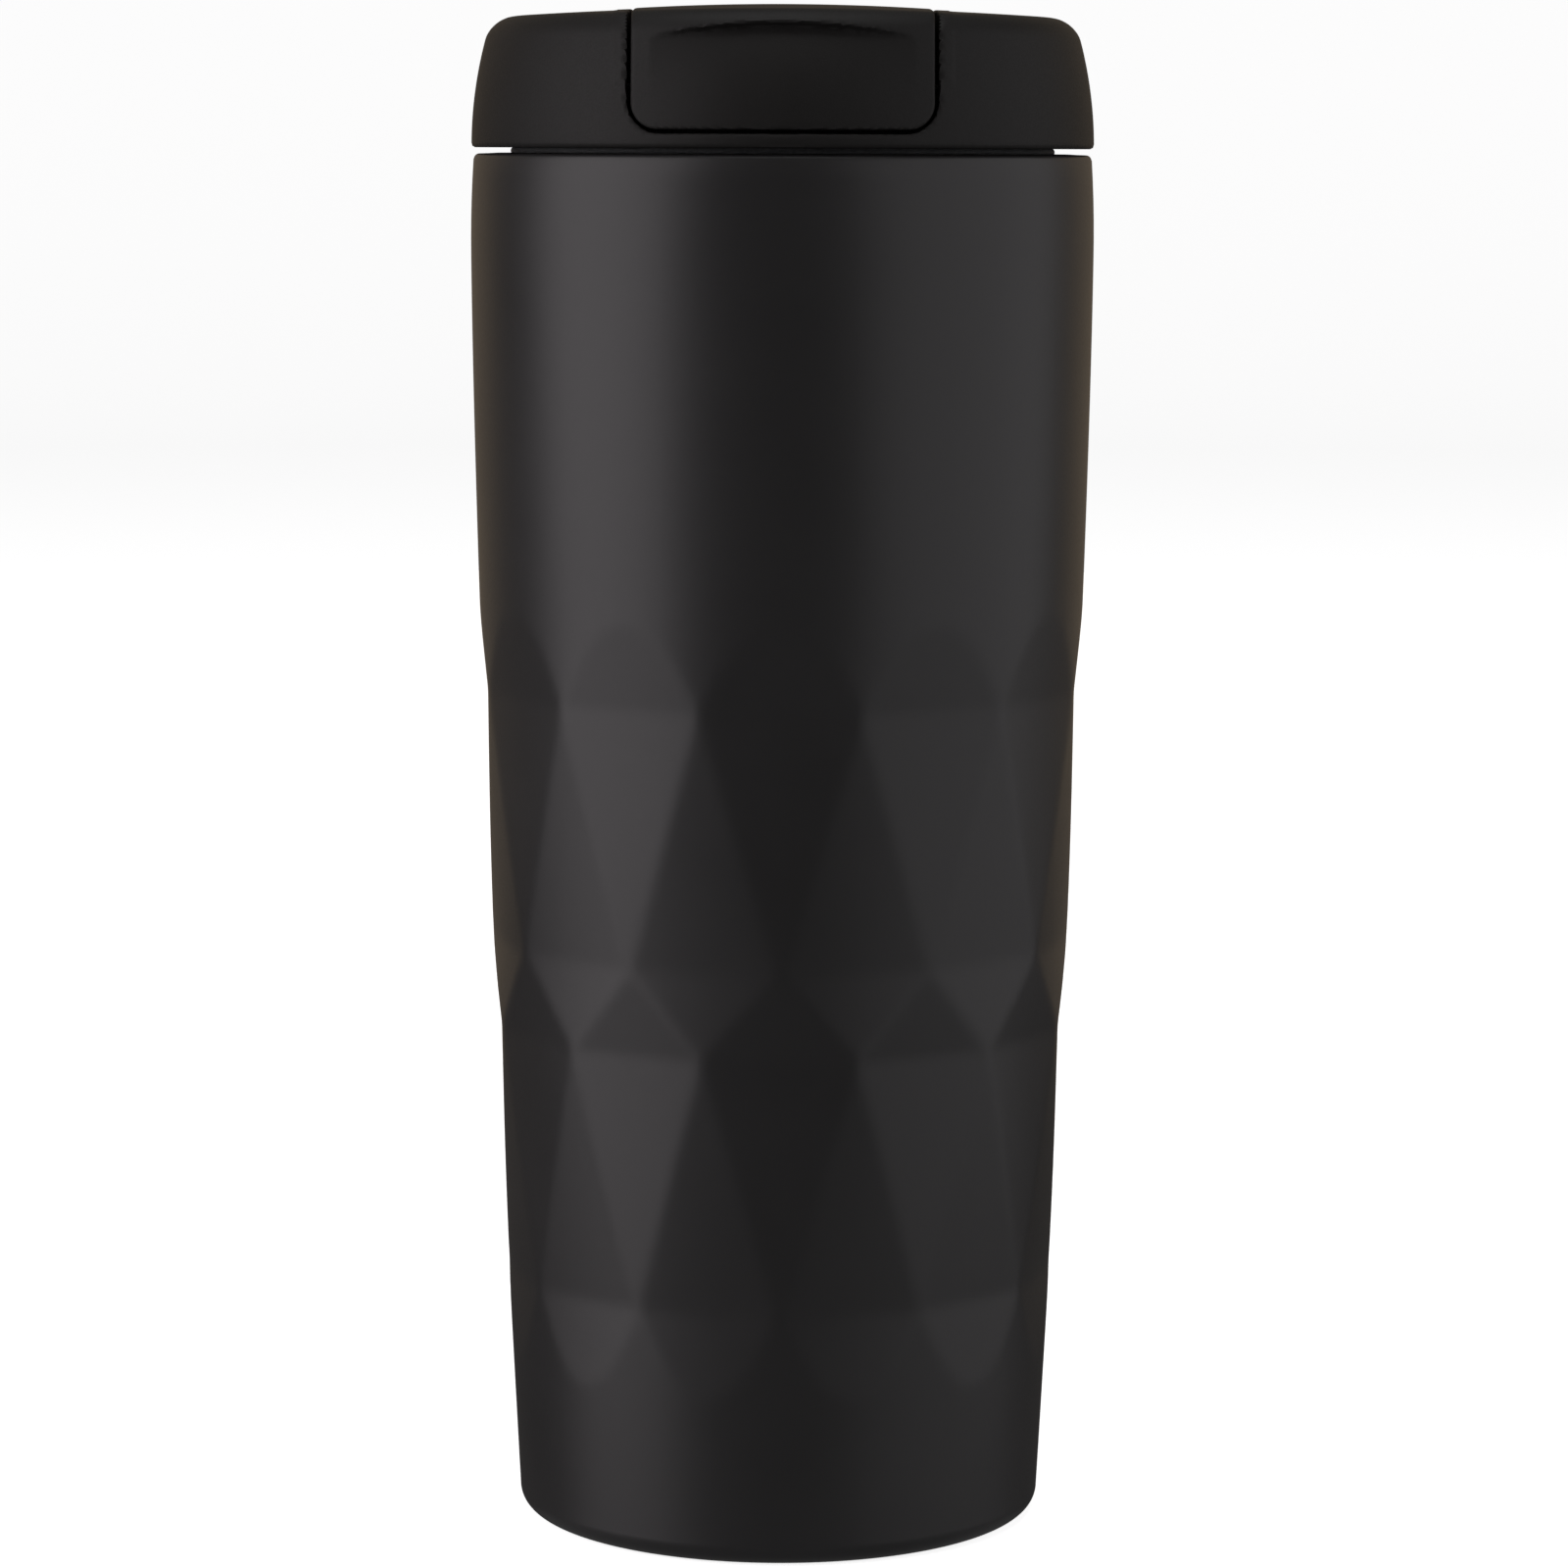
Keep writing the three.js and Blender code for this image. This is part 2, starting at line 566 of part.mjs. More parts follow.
// Thumb catch: a dish whose ledge stands across the top of the flap's front. In plan it is
// flatter than the front, so it runs out at both ends.
function thumbDish() {
  const ledgeZ = flapTop - CATCH_LEDGE;
  const frontR = lidWallRadius(ledgeZ) - 0.15;
  const deepest = frontR - CATCH_DEPTH;
  const endBack = deepest - Math.sqrt(frontR ** 2 - CATCH_HALF_WIDTH ** 2);
  const sweep = (CATCH_HALF_WIDTH ** 2 + endBack ** 2) / (2 * endBack);
  const out = 12;
  const falling = [0, 0.25, 0.5, 0.75, 1].map((share) => {
    const runOut = LID_LEAN * 0.4 + CATCH_DEPTH;
    return [sweep + runOut * share ** 2, ledgeZ - CATCH_FALL * share];
  });
  const ring = turned([...falling, [sweep + out, ledgeZ - CATCH_FALL], [sweep + out, ledgeZ + 0.5]]);
  return solid(ring.translate(0, sweep - deepest, 0));
}

// Flap cover: roof, side walls and the front apron with the thumb catch.
{
  const blank = solid(turned([[0, lidZ], [lidRadius, lidZ], ...lidOutline(0, FLAP_PROUD)]));
  const front = alongY(flapFront(0, flapTop, FLAP_CROWN), -lidRadius - 1, hingeY);
  const nose = bar(FLAP_NOSE, FLAP_WIDTH / 2, hingeY, hingeZ, 36);
  const backingZ = deckZ + FIT + 0.2;
  const behindApron = solid(turned([
    [0, lidZ - 1],
    [apronInner, lidZ - 1],
    [apronInner, backingZ],
    [pocketRadius, backingZ + APRON_BACKING / 3],
    [pocketRadius, sideFoot],
    [0, sideFoot],
  ]));
  const pocket = solid(turned([
    [0, lidZ],
    [pocketRadius, lidZ],
    [pocketRadius, roofUnder - 1],
    [pocketRadius - 1, roofUnder],
    [0, roofUnder],
  ])).intersect(box([-insideHalf, -lidRadius, sideFoot - 1], [insideHalf, hingeY, roofUnder + 1]));
  const knuckleRoom = bar(KNUCKLE_RADIUS + 1.3 * FIT, insideHalf, hingeY, hingeZ, 36);
  const pinHole = bar(PIN_RADIUS + FIT, FLAP_WIDTH / 2 + 1, hingeY, hingeZ);
  const flap = blank.intersect(front).subtract(behindApron).add(nose.intersect(blank))
    .subtract(pocket).subtract(knuckleRoom).subtract(pinHole).subtract(thumbDish());
  add('flap_cover', flap, BLACK_PLASTIC);
}

// Flap base: the inner plate that closes the flap from below and carries the stoppers.
const plateUnder = hingeZ - PLATE_DROP;
const plateTop = plateUnder + PLATE_SHEET;
const spoutMiddle = SPOUT_INSET - drumRadius;
{
  const half = insideHalf - FIT;
  const reach = pocketRadius - FIT;
  const plate = solid(turned([[0, plateUnder], [reach, plateUnder], [reach, plateTop], [0, plateTop]]))
    .intersect(box([-half, -lidRadius, plateUnder - 1], [half, hingeY, plateTop + 1]));
  const knuckle = bar(KNUCKLE_RADIUS, half, hingeY, hingeZ, 24);
  const pinHole = bar(PIN_RADIUS + FIT, half + 1, hingeY, hingeZ);
  const spoutStem = rod(SPOUT_STEM + FIT, 6, spoutMiddle, plateTop);
  const ventStem = rod(VENT_STEM + FIT, 6, VENT_Y, plateTop);
  const base = plate.add(knuckle).subtract(pinHole).subtract(spoutStem).subtract(ventStem);
  add('flap_base', base, BLACK_PLASTIC);
}

// A stem that is pulled up through the flap base and held by its head.
function stem(radius, headRadius, y, from) {
  const head = plateTop + FIT;
  return solid(turned([
    [0, from],
    [radius, from],
    [radius, head],
    [headRadius, head],
    [headRadius * 0.7, head + STEM_HEAD],
    [0, head + STEM_HEAD],
  ], AROUND_SMALL).translate(0, y, 0));
}

// Spout stopper: silicone pad on the rim of the drinking opening, with a lip inside it.
{
  const seat = deckZ + SPOUT_RIM + FIT;
  const padTop = plateUnder - FIT;
  const padOutline = roundEnded(SPOUT_LENGTH + 8 * FIT, SPOUT_WIDTH + 8 * FIT, spoutMiddle);
  const lipOutline = roundEnded(SPOUT_LENGTH - 4 * FIT, SPOUT_WIDTH - 4 * FIT, spoutMiddle);
  const pad = upwards(padOutline, seat, padTop);
  const lip = upwards(lipOutline, seat - STOPPER_LIP, seat + FIT);
  const held = stem(SPOUT_STEM, 1.6 * SPOUT_STEM, spoutMiddle, padTop - FIT);
  add('spout_stopper', pad.add(lip).add(held), BLACK_SILICONE);
}

// Vent stopper: a small silicone cone over the air hole.
{
  const seat = deckZ + SPOUT_RIM / 2 + FIT;
  const padTop = plateUnder - FIT;
  const cone = solid(turned([
    [0, seat - FIT],
    [VENT_RADIUS - FIT, seat - FIT],
    [VENT_RADIUS - FIT, seat],
    [2 * VENT_RADIUS, seat],
    [1.6 * VENT_RADIUS, padTop],
    [0, padTop],
  ], AROUND_SMALL).translate(0, VENT_Y, 0));
  const held = stem(VENT_STEM, 1.65 * VENT_STEM, VENT_Y, padTop - FIT);
  add('vent_stopper', cone.add(held), BLACK_SILICONE);
}

// Hinge pin: plain steel rod through the well walls and the flap.
add('hinge_pin', bar(PIN_RADIUS, slotHalf + FLAP_WALL - FIT, hingeY, hingeZ, 24), BARE_STEEL);

export default group;
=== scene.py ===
import math

import bpy
import numpy as np
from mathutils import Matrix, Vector


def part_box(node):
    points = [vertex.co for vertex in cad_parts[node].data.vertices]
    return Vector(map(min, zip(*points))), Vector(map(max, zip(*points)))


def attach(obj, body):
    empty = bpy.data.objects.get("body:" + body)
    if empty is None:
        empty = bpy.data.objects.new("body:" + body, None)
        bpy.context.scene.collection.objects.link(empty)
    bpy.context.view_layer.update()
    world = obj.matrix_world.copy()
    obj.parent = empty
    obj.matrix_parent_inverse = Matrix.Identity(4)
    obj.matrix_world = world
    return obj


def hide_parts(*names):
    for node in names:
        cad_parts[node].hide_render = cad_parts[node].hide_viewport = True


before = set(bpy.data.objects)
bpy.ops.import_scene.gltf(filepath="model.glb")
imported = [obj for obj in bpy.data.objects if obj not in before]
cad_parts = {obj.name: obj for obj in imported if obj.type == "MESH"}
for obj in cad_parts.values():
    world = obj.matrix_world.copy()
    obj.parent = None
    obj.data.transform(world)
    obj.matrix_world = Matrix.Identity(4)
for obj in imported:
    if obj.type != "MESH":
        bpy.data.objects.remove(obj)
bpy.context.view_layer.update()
MM = 0.001


# ---------------------------------------------------------------- camera, floor and light
# The tumbler stands on a round white floor that curves up into a white wall. A soft box at the
# left and a broad, weaker one at the right draw the bands of light down its sides. A warm one
# behind it rims its edges, and two more fill it softly from above and below.

EYE_HEIGHT = 173.9 * MM
EYE_DISTANCE = 660 * MM
LOOK_DOWN = math.radians(6.965)
CAMERA_ROLL = math.radians(-0.19)

lens = bpy.data.cameras.new("camera")
lens.lens = 119.85
lens.sensor_width = 36
lens.clip_start, lens.clip_end = 0.01, 20
camera = bpy.data.objects.new("camera", lens)
camera.location = (0.00016, -EYE_DISTANCE, EYE_HEIGHT)
camera.rotation_euler = (math.pi / 2 - LOOK_DOWN, CAMERA_ROLL, 0)
bpy.context.collection.objects.link(camera)
bpy.context.scene.camera = camera


def set_down(name, points, faces):
    """A new object at the origin whose mesh lies where its points say, in metres."""
    mesh = bpy.data.meshes.new(name)
    mesh.from_pydata(points, [], faces)
    mesh.update()
    made = bpy.data.objects.new(name, mesh)
    bpy.context.collection.objects.link(made)
    return made


def new_finish(name, **settings):
    """A material and its shader, with the settings that are the same all over."""
    finish = bpy.data.materials.new(name)
    finish.use_nodes = True
    shader = finish.node_tree.nodes["Principled BSDF"]
    for socket, value in settings.items():
        shader.inputs[socket.replace("_", " ")].default_value = value
    return finish, finish.node_tree, shader


def add_node(tree, kind, inputs=None, **settings):
    """A node with its settings; inputs go to its sockets by name, as values or links."""
    node = tree.nodes.new(kind)
    for key, value in settings.items():
        setattr(node, key, value)
    for key, value in (inputs or {}).items():
        if isinstance(value, bpy.types.NodeSocket):
            tree.links.new(value, node.inputs[key])
        else:
            node.inputs[key].default_value = value
    return node


def tent(name, radius, height, bend, around, bend_steps=12):
    """A round floor that curves up into a wall on every side, shaded smoothly. One narrow ring
    lies before the bend, so that the flat floor is shaded flat."""
    profile = [(0, 0), (radius - bend - 0.3, 0), (radius - bend, 0)]
    for step in range(1, bend_steps + 1):
        turn_by = math.radians(90 / bend_steps * step)
        profile.append((radius - bend + bend * math.sin(turn_by), bend - bend * math.cos(turn_by)))
    profile.append((radius, height))
    angles = [2 * math.pi * i / around for i in range(around)]
    points = [(0, 0, 0)]
    points += [(r * math.cos(a), r * math.sin(a), z) for r, z in profile[1:] for a in angles]
    faces = [(0, 1 + i, 1 + (i + 1) % around) for i in range(around)]
    for start in range(1, 1 + around * (len(profile) - 2), around):
        for i in range(around):
            j = (i + 1) % around
            faces.append((start + i, start + around + i, start + around + j, start + j))
    made = set_down(name, points, faces)
    made.data.polygons.foreach_set("use_smooth", [True] * len(faces))
    return made


table = tent("table", radius=3.2, height=3.0, bend=0.8, around=96)
table_white, tree, shader = new_finish("table_white", Roughness=0.9, Emission_Strength=0.84)
shader.inputs["Base Color"].default_value = (0.9, 0.9, 0.9, 1)
shader.inputs["Emission Color"].default_value = (1, 1, 1, 1)
table.data.materials.append(table_white)
table.visible_glossy = False
table.visible_diffuse = False
table.visible_shadow = False

world = bpy.data.worlds.new("studio")
bpy.context.scene.world = world
world.use_nodes = True
air = world.node_tree.nodes["Background"].inputs
air["Color"].default_value = (1, 1, 1, 1)
air["Strength"].default_value = 0.045
bpy.context.scene.view_settings.view_transform = "Standard"


def soft_box(name, around, height, distance, size, power, colour=(1, 1, 1)):
    """A rectangular soft light that faces the tumbler, at an angle round it from the camera.
    Its height, distance and size are in metres."""
    light = bpy.data.lights.new(name, "AREA")
    light.shape = "RECTANGLE"
    light.size, light.size_y = size
    light.energy = power
    light.color = colour
    lamp = bpy.data.objects.new(name, light)
    angle = math.radians(around)
    lamp.location = (distance * math.sin(angle), -distance * math.cos(angle), height)
    aim = Vector((0, 0, 0.1)) - lamp.location
    lamp.rotation_euler = aim.to_track_quat("-Z", "Y").to_euler()
    lamp.visible_camera = False
    bpy.context.collection.objects.link(lamp)
    return lamp


soft_box("left_box", -68, 0.33, 1.0, (1.1, 1.34), 7.7, (1, 0.945, 0.975))
soft_box("right_box", 74, 0.33, 1.0, (1.95, 1.34), 5.5, (1, 0.97, 0.99))
soft_box("top_box", 0, 2.2, 0.1, (1.6, 1.6), 12.0)
soft_box("low_box", 0, -0.6, 0.1, (3.0, 3.0), 3.0)
soft_box("back_box", 180, 0.4, 1.4, (3.4, 1.3), 3.7, (1, 0.74, 0.46))


# ---------------------------------------------------------------- outer shell
# The outside wall is a tube of stainless steel, spun to a belly and pressed with twelve
# facets round it in tall and short bands. Its rim is rolled in to meet the liner, and the
# whole outside is sprayed with a satin black soft-feel paint.

TURNS = 288
BELLY_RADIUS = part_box("outer_shell")[1].x / MM
BELLY_Z = 162.0
FOOT_INSET = 5.8
FOOT_FILLET = 2.7
BELLY_POWER = 1.46
MOUTH_EASE = 0.4
RIM_ROUND = 0.7
RIM_RISE = 0.1
SHEET = 0.5
FIT = 0.3
WELD_Z = 6.0
BODY_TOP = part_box("outer_shell")[1].z / MM
FACET_FOOT = 31.6
SHORT_BAND = 10.7
TALL_BAND = 31.8
FACET_DEPTH = 0.74
FACET_TOP = FACET_FOOT + SHORT_BAND + 2 * TALL_BAND
FINE_TOP = FACET_TOP + 12


def belly(z):
    """The body's radius at a height, before the facets are pressed."""
    if z > BELLY_Z:
        return BELLY_RADIUS - MOUTH_EASE * ((z - BELLY_Z) / (BODY_TOP - BELLY_Z)) ** 2
    return BELLY_RADIUS - FOOT_INSET * ((BELLY_Z - z) / (BELLY_Z - FOOT_FILLET)) ** BELLY_POWER


def rounding(r, z, radius, start, end, steps):
    """Points on an arc in the outline plane, its angles in degrees from straight outward."""
    angles = [math.radians(start + (end - start) * i / steps) for i in range(steps + 1)]
    return [(r + radius * math.cos(a), z + radius * math.sin(a)) for a in angles]


def steps_between(low, high, step):
    """Evenly spaced heights from low to high, no further apart than step."""
    count = max(1, math.ceil(abs(high - low) / step))
    return [low + (high - low) * i / count for i in range(count + 1)]


def turn(name, outline, columns, crease=35):
    """A turned piece from (radius, height) points in millimetres. An outline that starts and
    ends on the axis closes there, and any other closes on itself."""
    points, rings = [], []
    angles = [2 * math.pi * i / columns for i in range(columns)]
    for r, z in outline:
        start = len(points)
        if r < 1e-6:
            points.append((0, 0, z * MM))
            rings.append([start] * columns)
        else:
            points += [(r * MM * math.sin(a), -r * MM * math.cos(a), z * MM) for a in angles]
            rings.append(list(range(start, start + columns)))
    pairs = list(zip(rings, rings[1:]))
    if outline[0][0] > 1e-6:
        pairs.append((rings[-1], rings[0]))
    faces = []
    for lower, upper in pairs:
        for i in range(columns):
            j = (i + 1) % columns
            face = [lower[i], lower[j], upper[j], upper[i]]
            face = [v for n, v in enumerate(face) if v not in face[:n]]
            if len(face) > 2:
                faces.append(face)
    area = sum((b[0] - a[0]) * (a[1] + b[1]) for a, b in zip(outline, outline[1:] + outline[:1]))
    if area > 0:
        faces = [face[::-1] for face in faces]
    made = set_down(name, points, faces)
    soften(made, crease)
    return made


def soften(piece, crease):
    """Shades a piece smoothly, with an edge kept wherever it turns by more than crease degrees."""
    piece.data.polygons.foreach_set("use_smooth", [True] * len(piece.data.polygons))
    piece.data.set_sharp_from_angle(angle=math.radians(crease))


def made_plain(piece, modifier):
    """Turns a modifier's result into the piece's own mesh."""
    seen = piece.evaluated_get(bpy.context.evaluated_depsgraph_get())
    plain = bpy.data.meshes.new_from_object(seen)
    piece.modifiers.remove(modifier)
    piece.data = plain


def facet_press():
    """Sinks facets into a round wall: a tall band of triangles, a short one and a tall one.
    Their corners stay on the wall while the middles of their bases sink by Depth, and past
    the first and last rows a last facet on each base runs out onto the round wall."""
    tree = bpy.data.node_groups.new("facet_press", "GeometryNodeTree")
    face = tree.interface
    face.new_socket("Geometry", in_out="INPUT", socket_type="NodeSocketGeometry")
    for name in ("Facets Around", "Foot Height", "Short Band", "Tall Band", "Depth", "Run Out"):
        face.new_socket(name, in_out="INPUT", socket_type="NodeSocketFloat")
    face.new_socket("Rounding Passes", in_out="INPUT", socket_type="NodeSocketInt")
    face.new_socket("Finish", in_out="INPUT", socket_type="NodeSocketMaterial")
    face.new_socket("Geometry", in_out="OUTPUT", socket_type="NodeSocketGeometry")
    given = tree.nodes.new("NodeGroupInput").outputs

    def work(operation, *values):
        node = tree.nodes.new("ShaderNodeMath")
        node.operation = operation
        for socket, value in zip(node.inputs, values):
            if isinstance(value, bpy.types.NodeSocket):
                tree.links.new(value, socket)
            else:
                socket.default_value = value
        return node.outputs[0]

    where = tree.nodes.new("GeometryNodeInputPosition").outputs[0]
    x, y, z = add_node(tree, "ShaderNodeSeparateXYZ", {0: where}).outputs
    angle = work("ARCTAN2", x, work("MULTIPLY", y, -1.0))
    steps = work("DIVIDE", work("MULTIPLY", angle, given["Facets Around"]), 2 * math.pi)

    def squared_off(offset):
        """The square of how far a point is from the nearest offset, from 0 to 1."""
        shifted = work("SUBTRACT", steps, offset)
        away = work("SUBTRACT", shifted, work("ROUND", shifted))
        return work("MULTIPLY", work("MULTIPLY", away, away), 4.0)

    on_rib = squared_off(0.0)
    between_ribs = squared_off(0.5)
    short, tall, run_out = given["Short Band"], given["Tall Band"], given["Run Out"]
    above_foot = work("SUBTRACT", z, given["Foot Height"])
    span = work("ADD", work("MULTIPLY", tall, 2.0), short)

    def rises(height, band):
        """From 0 to 1 up a band, and held there above and below it."""
        return work("MINIMUM", work("MAXIMUM", work("DIVIDE", height, band), 0.0), 1.0)

    first = rises(work("ADD", above_foot, run_out), run_out)
    low_tall = rises(above_foot, tall)
    middle = rises(work("SUBTRACT", above_foot, tall), short)
    high_tall = rises(work("SUBTRACT", work("SUBTRACT", above_foot, tall), short), tall)
    last = rises(work("SUBTRACT", above_foot, span), run_out)

    def pressed_at(row, next_row, off):
        """The facets whose bases share a row: they start at one band and end with the next."""
        return work("SUBTRACT", work("SUBTRACT", row, next_row), off)

    depths = [
        pressed_at(first, low_tall, between_ribs),
        pressed_at(low_tall, middle, on_rib),
        pressed_at(middle, high_tall, between_ribs),
        pressed_at(high_tall, last, on_rib),
    ]
    sunk = 0.0
    for depth in depths:
        sunk = work("MAXIMUM", depth, sunk)

    blur = add_node(tree, "GeometryNodeBlurAttribute", data_type="FLOAT")
    tree.links.new(work("MULTIPLY", sunk, given["Depth"]), blur.inputs["Value"])
    tree.links.new(given["Rounding Passes"], blur.inputs["Iterations"])
    outward = add_node(tree, "ShaderNodeVectorMath", operation="NORMALIZE")
    flat = add_node(tree, "ShaderNodeCombineXYZ", {"X": x, "Y": y})
    tree.links.new(flat.outputs[0], outward.inputs[0])
    push = add_node(tree, "ShaderNodeVectorMath", operation="SCALE")
    tree.links.new(outward.outputs[0], push.inputs[0])
    tree.links.new(work("MULTIPLY", blur.outputs[0], -1.0), push.inputs["Scale"])

    pressed = add_node(tree, "GeometryNodeSetPosition",
                       {"Geometry": given["Geometry"], "Offset": push.outputs[0]})
    real = add_node(tree, "GeometryNodeRealizeInstances", {"Geometry": pressed.outputs[0]})
    coated = add_node(tree, "GeometryNodeSetMaterial",
                      {"Geometry": real.outputs[0], "Material": given["Finish"]})
    tree.links.new(coated.outputs[0], tree.nodes.new("NodeGroupOutput").inputs[0])
    return tree


def fit_tree(piece, tree, **values):
    """Puts a node tree on a piece as a modifier, with its inputs set by their sockets."""
    modifier = piece.modifiers.new(tree.name, "NODES")
    modifier.node_group = tree
    for item in tree.interface.items_tree:
        key = item.name.lower().replace(" ", "_")
        if item.in_out == "INPUT" and key in values:
            modifier[item.identifier] = values[key]
    return modifier


def mapped(tree, value, low, high, from_low=0.3, from_high=0.7):
    """Spreads a grain's grey values over a range."""
    ends = {"From Min": from_low, "From Max": from_high, "To Min": low, "To Max": high}
    return add_node(tree, "ShaderNodeMapRange", {"Value": value, **ends}).outputs[0]


def grain(tree, scale, detail=2.0, stretch=(1, 1, 1)):
    """Noise in the piece's own millimetres: scale is the number of grains in a millimetre."""
    place = tree.nodes.new("ShaderNodeTexCoord").outputs["Object"]
    if stretch != (1, 1, 1):
        place = add_node(tree, "ShaderNodeMapping", {"Vector": place, "Scale": stretch}).outputs[0]
    noise = add_node(tree, "ShaderNodeTexNoise", {"Vector": place, "Scale": scale / MM, "Detail": detail})
    return noise.outputs["Fac"]


def tinted(tree, shader, fac, dark, light):
    """Colours a shader between two shades by a grain."""
    mix = add_node(tree, "ShaderNodeMix", data_type="RGBA")
    tree.links.new(fac, mix.inputs["Factor"])
    mix.inputs["A"].default_value = (*dark, 1)
    mix.inputs["B"].default_value = (*light, 1)
    tree.links.new(mix.outputs["Result"], shader.inputs["Base Color"])


def raised(tree, shader, heights):
    """Adds small relief to a shader: (grain, height in millimetres) pairs, coarse ones first."""
    normal = None
    for value, tall in heights:
        bump = add_node(tree, "ShaderNodeBump", {"Height": value, "Distance": tall * MM, "Strength": 1.0})
        if normal:
            tree.links.new(normal, bump.inputs["Normal"])
        normal = bump.outputs[0]
    tree.links.new(normal, shader.inputs["Normal"])


satin_paint, tree, shader = new_finish("satin_paint", Metallic=0.0, IOR=1.5, Specular_IOR_Level=0.5)
speckle = grain(tree, 2.6, 3)
cloud = grain(tree, 0.03, 3)
tinted(tree, shader, mapped(tree, cloud, 0, 1), (0.0190, 0.0182, 0.0186), (0.0235, 0.0226, 0.0230))
wear = add_node(tree, "ShaderNodeMath", operation="ADD")
tree.links.new(mapped(tree, cloud, 0.37, 0.41), wear.inputs[0])
tree.links.new(mapped(tree, speckle, -0.02, 0.02), wear.inputs[1])
tree.links.new(wear.outputs[0], shader.inputs["Roughness"])
raised(tree, shader, [(grain(tree, 0.45, 1), 0.004), (speckle, 0.006)])

rim_z = BODY_TOP - RIM_RISE
rim_r = belly(rim_z) - RIM_ROUND
lip_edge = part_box("inner_liner")[1].x / MM + FIT
outside = [(belly(z), z) for z in steps_between(WELD_Z, FINE_TOP, 0.75)]
outside += [(belly(z), z) for z in steps_between(FINE_TOP, rim_z - RIM_ROUND, 2.5)[1:]]
inside = [(belly(z) - SHEET, z) for z in steps_between(rim_z - RIM_ROUND, WELD_Z, 9)]
shell_outline = [
    *outside,
    *rounding(rim_r, rim_z - RIM_ROUND, RIM_ROUND, 10, 90, 8),
    (rim_r - 1.2, rim_z + 0.04),
    (lip_edge + 0.3, BODY_TOP),
    (lip_edge + 0.08, BODY_TOP - 0.06),
    (lip_edge, BODY_TOP - 0.2),
    (lip_edge, BODY_TOP - SHEET),
    (rim_r - SHEET, rim_z - SHEET),
    *inside,
]
shell = turn("shell_wall", shell_outline, TURNS)
press = fit_tree(shell, facet_press(), facets_around=12.0, foot_height=FACET_FOOT * MM,
                 short_band=SHORT_BAND * MM, tall_band=TALL_BAND * MM, depth=FACET_DEPTH * MM,
                 run_out=SHORT_BAND * MM, rounding_passes=1, finish=satin_paint)
made_plain(shell, press)
soften(shell, 35)
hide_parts("outer_shell")
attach(shell, "tumbler")


# ---------------------------------------------------------------- base
# The foot is a dish of the same steel, butt-welded to the wall at its top edge, ground flush
# and painted with it. It stands on a flat ring, and its middle is sunk round the vacuum port.

RING_OUTER = BELLY_RADIUS - FOOT_INSET - FOOT_FILLET
RING_WIDTH = 3.1
RING_INNER = RING_OUTER - RING_WIDTH
SUNK = 2.0
DIMPLE_Z = 3.2
DIMPLE_R = 6.8
DIMPLE_EDGE = 8.0
PORT_R = 1.2

base_outline = [
    *[(belly(z), z) for z in steps_between(WELD_Z, FOOT_FILLET, 0.6)],
    *rounding(RING_OUTER, FOOT_FILLET, FOOT_FILLET, 0, -90, 18)[1:],
    *rounding(RING_INNER + 0.5, 0.5, 0.5, -90, -180, 5),
    (RING_INNER, SUNK),
    (DIMPLE_EDGE, SUNK),
    (DIMPLE_R, DIMPLE_Z),
    (PORT_R, DIMPLE_Z),
    (PORT_R, DIMPLE_Z + SHEET),
    (DIMPLE_R, DIMPLE_Z + SHEET),
    (DIMPLE_EDGE, SUNK + SHEET),
    (RING_INNER + SHEET, SUNK + SHEET),
    (RING_INNER + SHEET, SHEET),
    *rounding(RING_OUTER, FOOT_FILLET, FOOT_FILLET - SHEET, -90, 0, 9),
    (belly(WELD_Z) - SHEET, WELD_Z),
]
base = turn("base_dish", base_outline, TURNS)
base.data.materials.append(satin_paint)
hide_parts("outer_base")
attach(base, "tumbler")

cover_low, cover_high = [corner.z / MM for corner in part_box("base_cover")]
cover_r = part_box("base_cover")[1].x / MM
DISC_RIM = 4.0
DISC_HOLLOW = 0.25
disc_outline = [
    (0, cover_low + DISC_HOLLOW),
    (cover_r - DISC_RIM - 0.2, cover_low + DISC_HOLLOW),
    *rounding(cover_r - DISC_RIM, cover_low + 0.2, 0.2, 150, 270, 4),
    *rounding(cover_r - 0.3, cover_low + 0.3, 0.3, -90, 0, 5),
    (cover_r, cover_high),
    (0, cover_high),
]
disc = turn("base_disc", disc_outline, 192)
disc.data.materials.append(satin_paint)
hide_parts("base_cover")
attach(disc, "tumbler")


# ---------------------------------------------------------------- liner
# The cup that holds the drink is deep-drawn stainless steel, left bare and brushed round by
# a belt. Its lip turns out at the mouth, where it is welded to the shell.

LINER_FLOOR = 9.0
LINER_CORNER = 8.0
LIP_DROP = 0.8
WALLS = 4.7

brushed_steel, tree, shader = new_finish("brushed_steel", Metallic=1.0)
lines = grain(tree, 6.0, 2, (0.02, 0.02, 1))
blotch = grain(tree, 0.08, 3)
tinted(tree, shader, mapped(tree, blotch, 0, 1), (0.50, 0.50, 0.49), (0.60, 0.60, 0.585))
tree.links.new(mapped(tree, lines, 0.22, 0.36), shader.inputs["Roughness"])
raised(tree, shader, [(lines, 0.01)])


def liner_radius(z):
    """The liner's inner radius at a height, one wall inside the belly."""
    return belly(min(z, BELLY_Z)) - WALLS


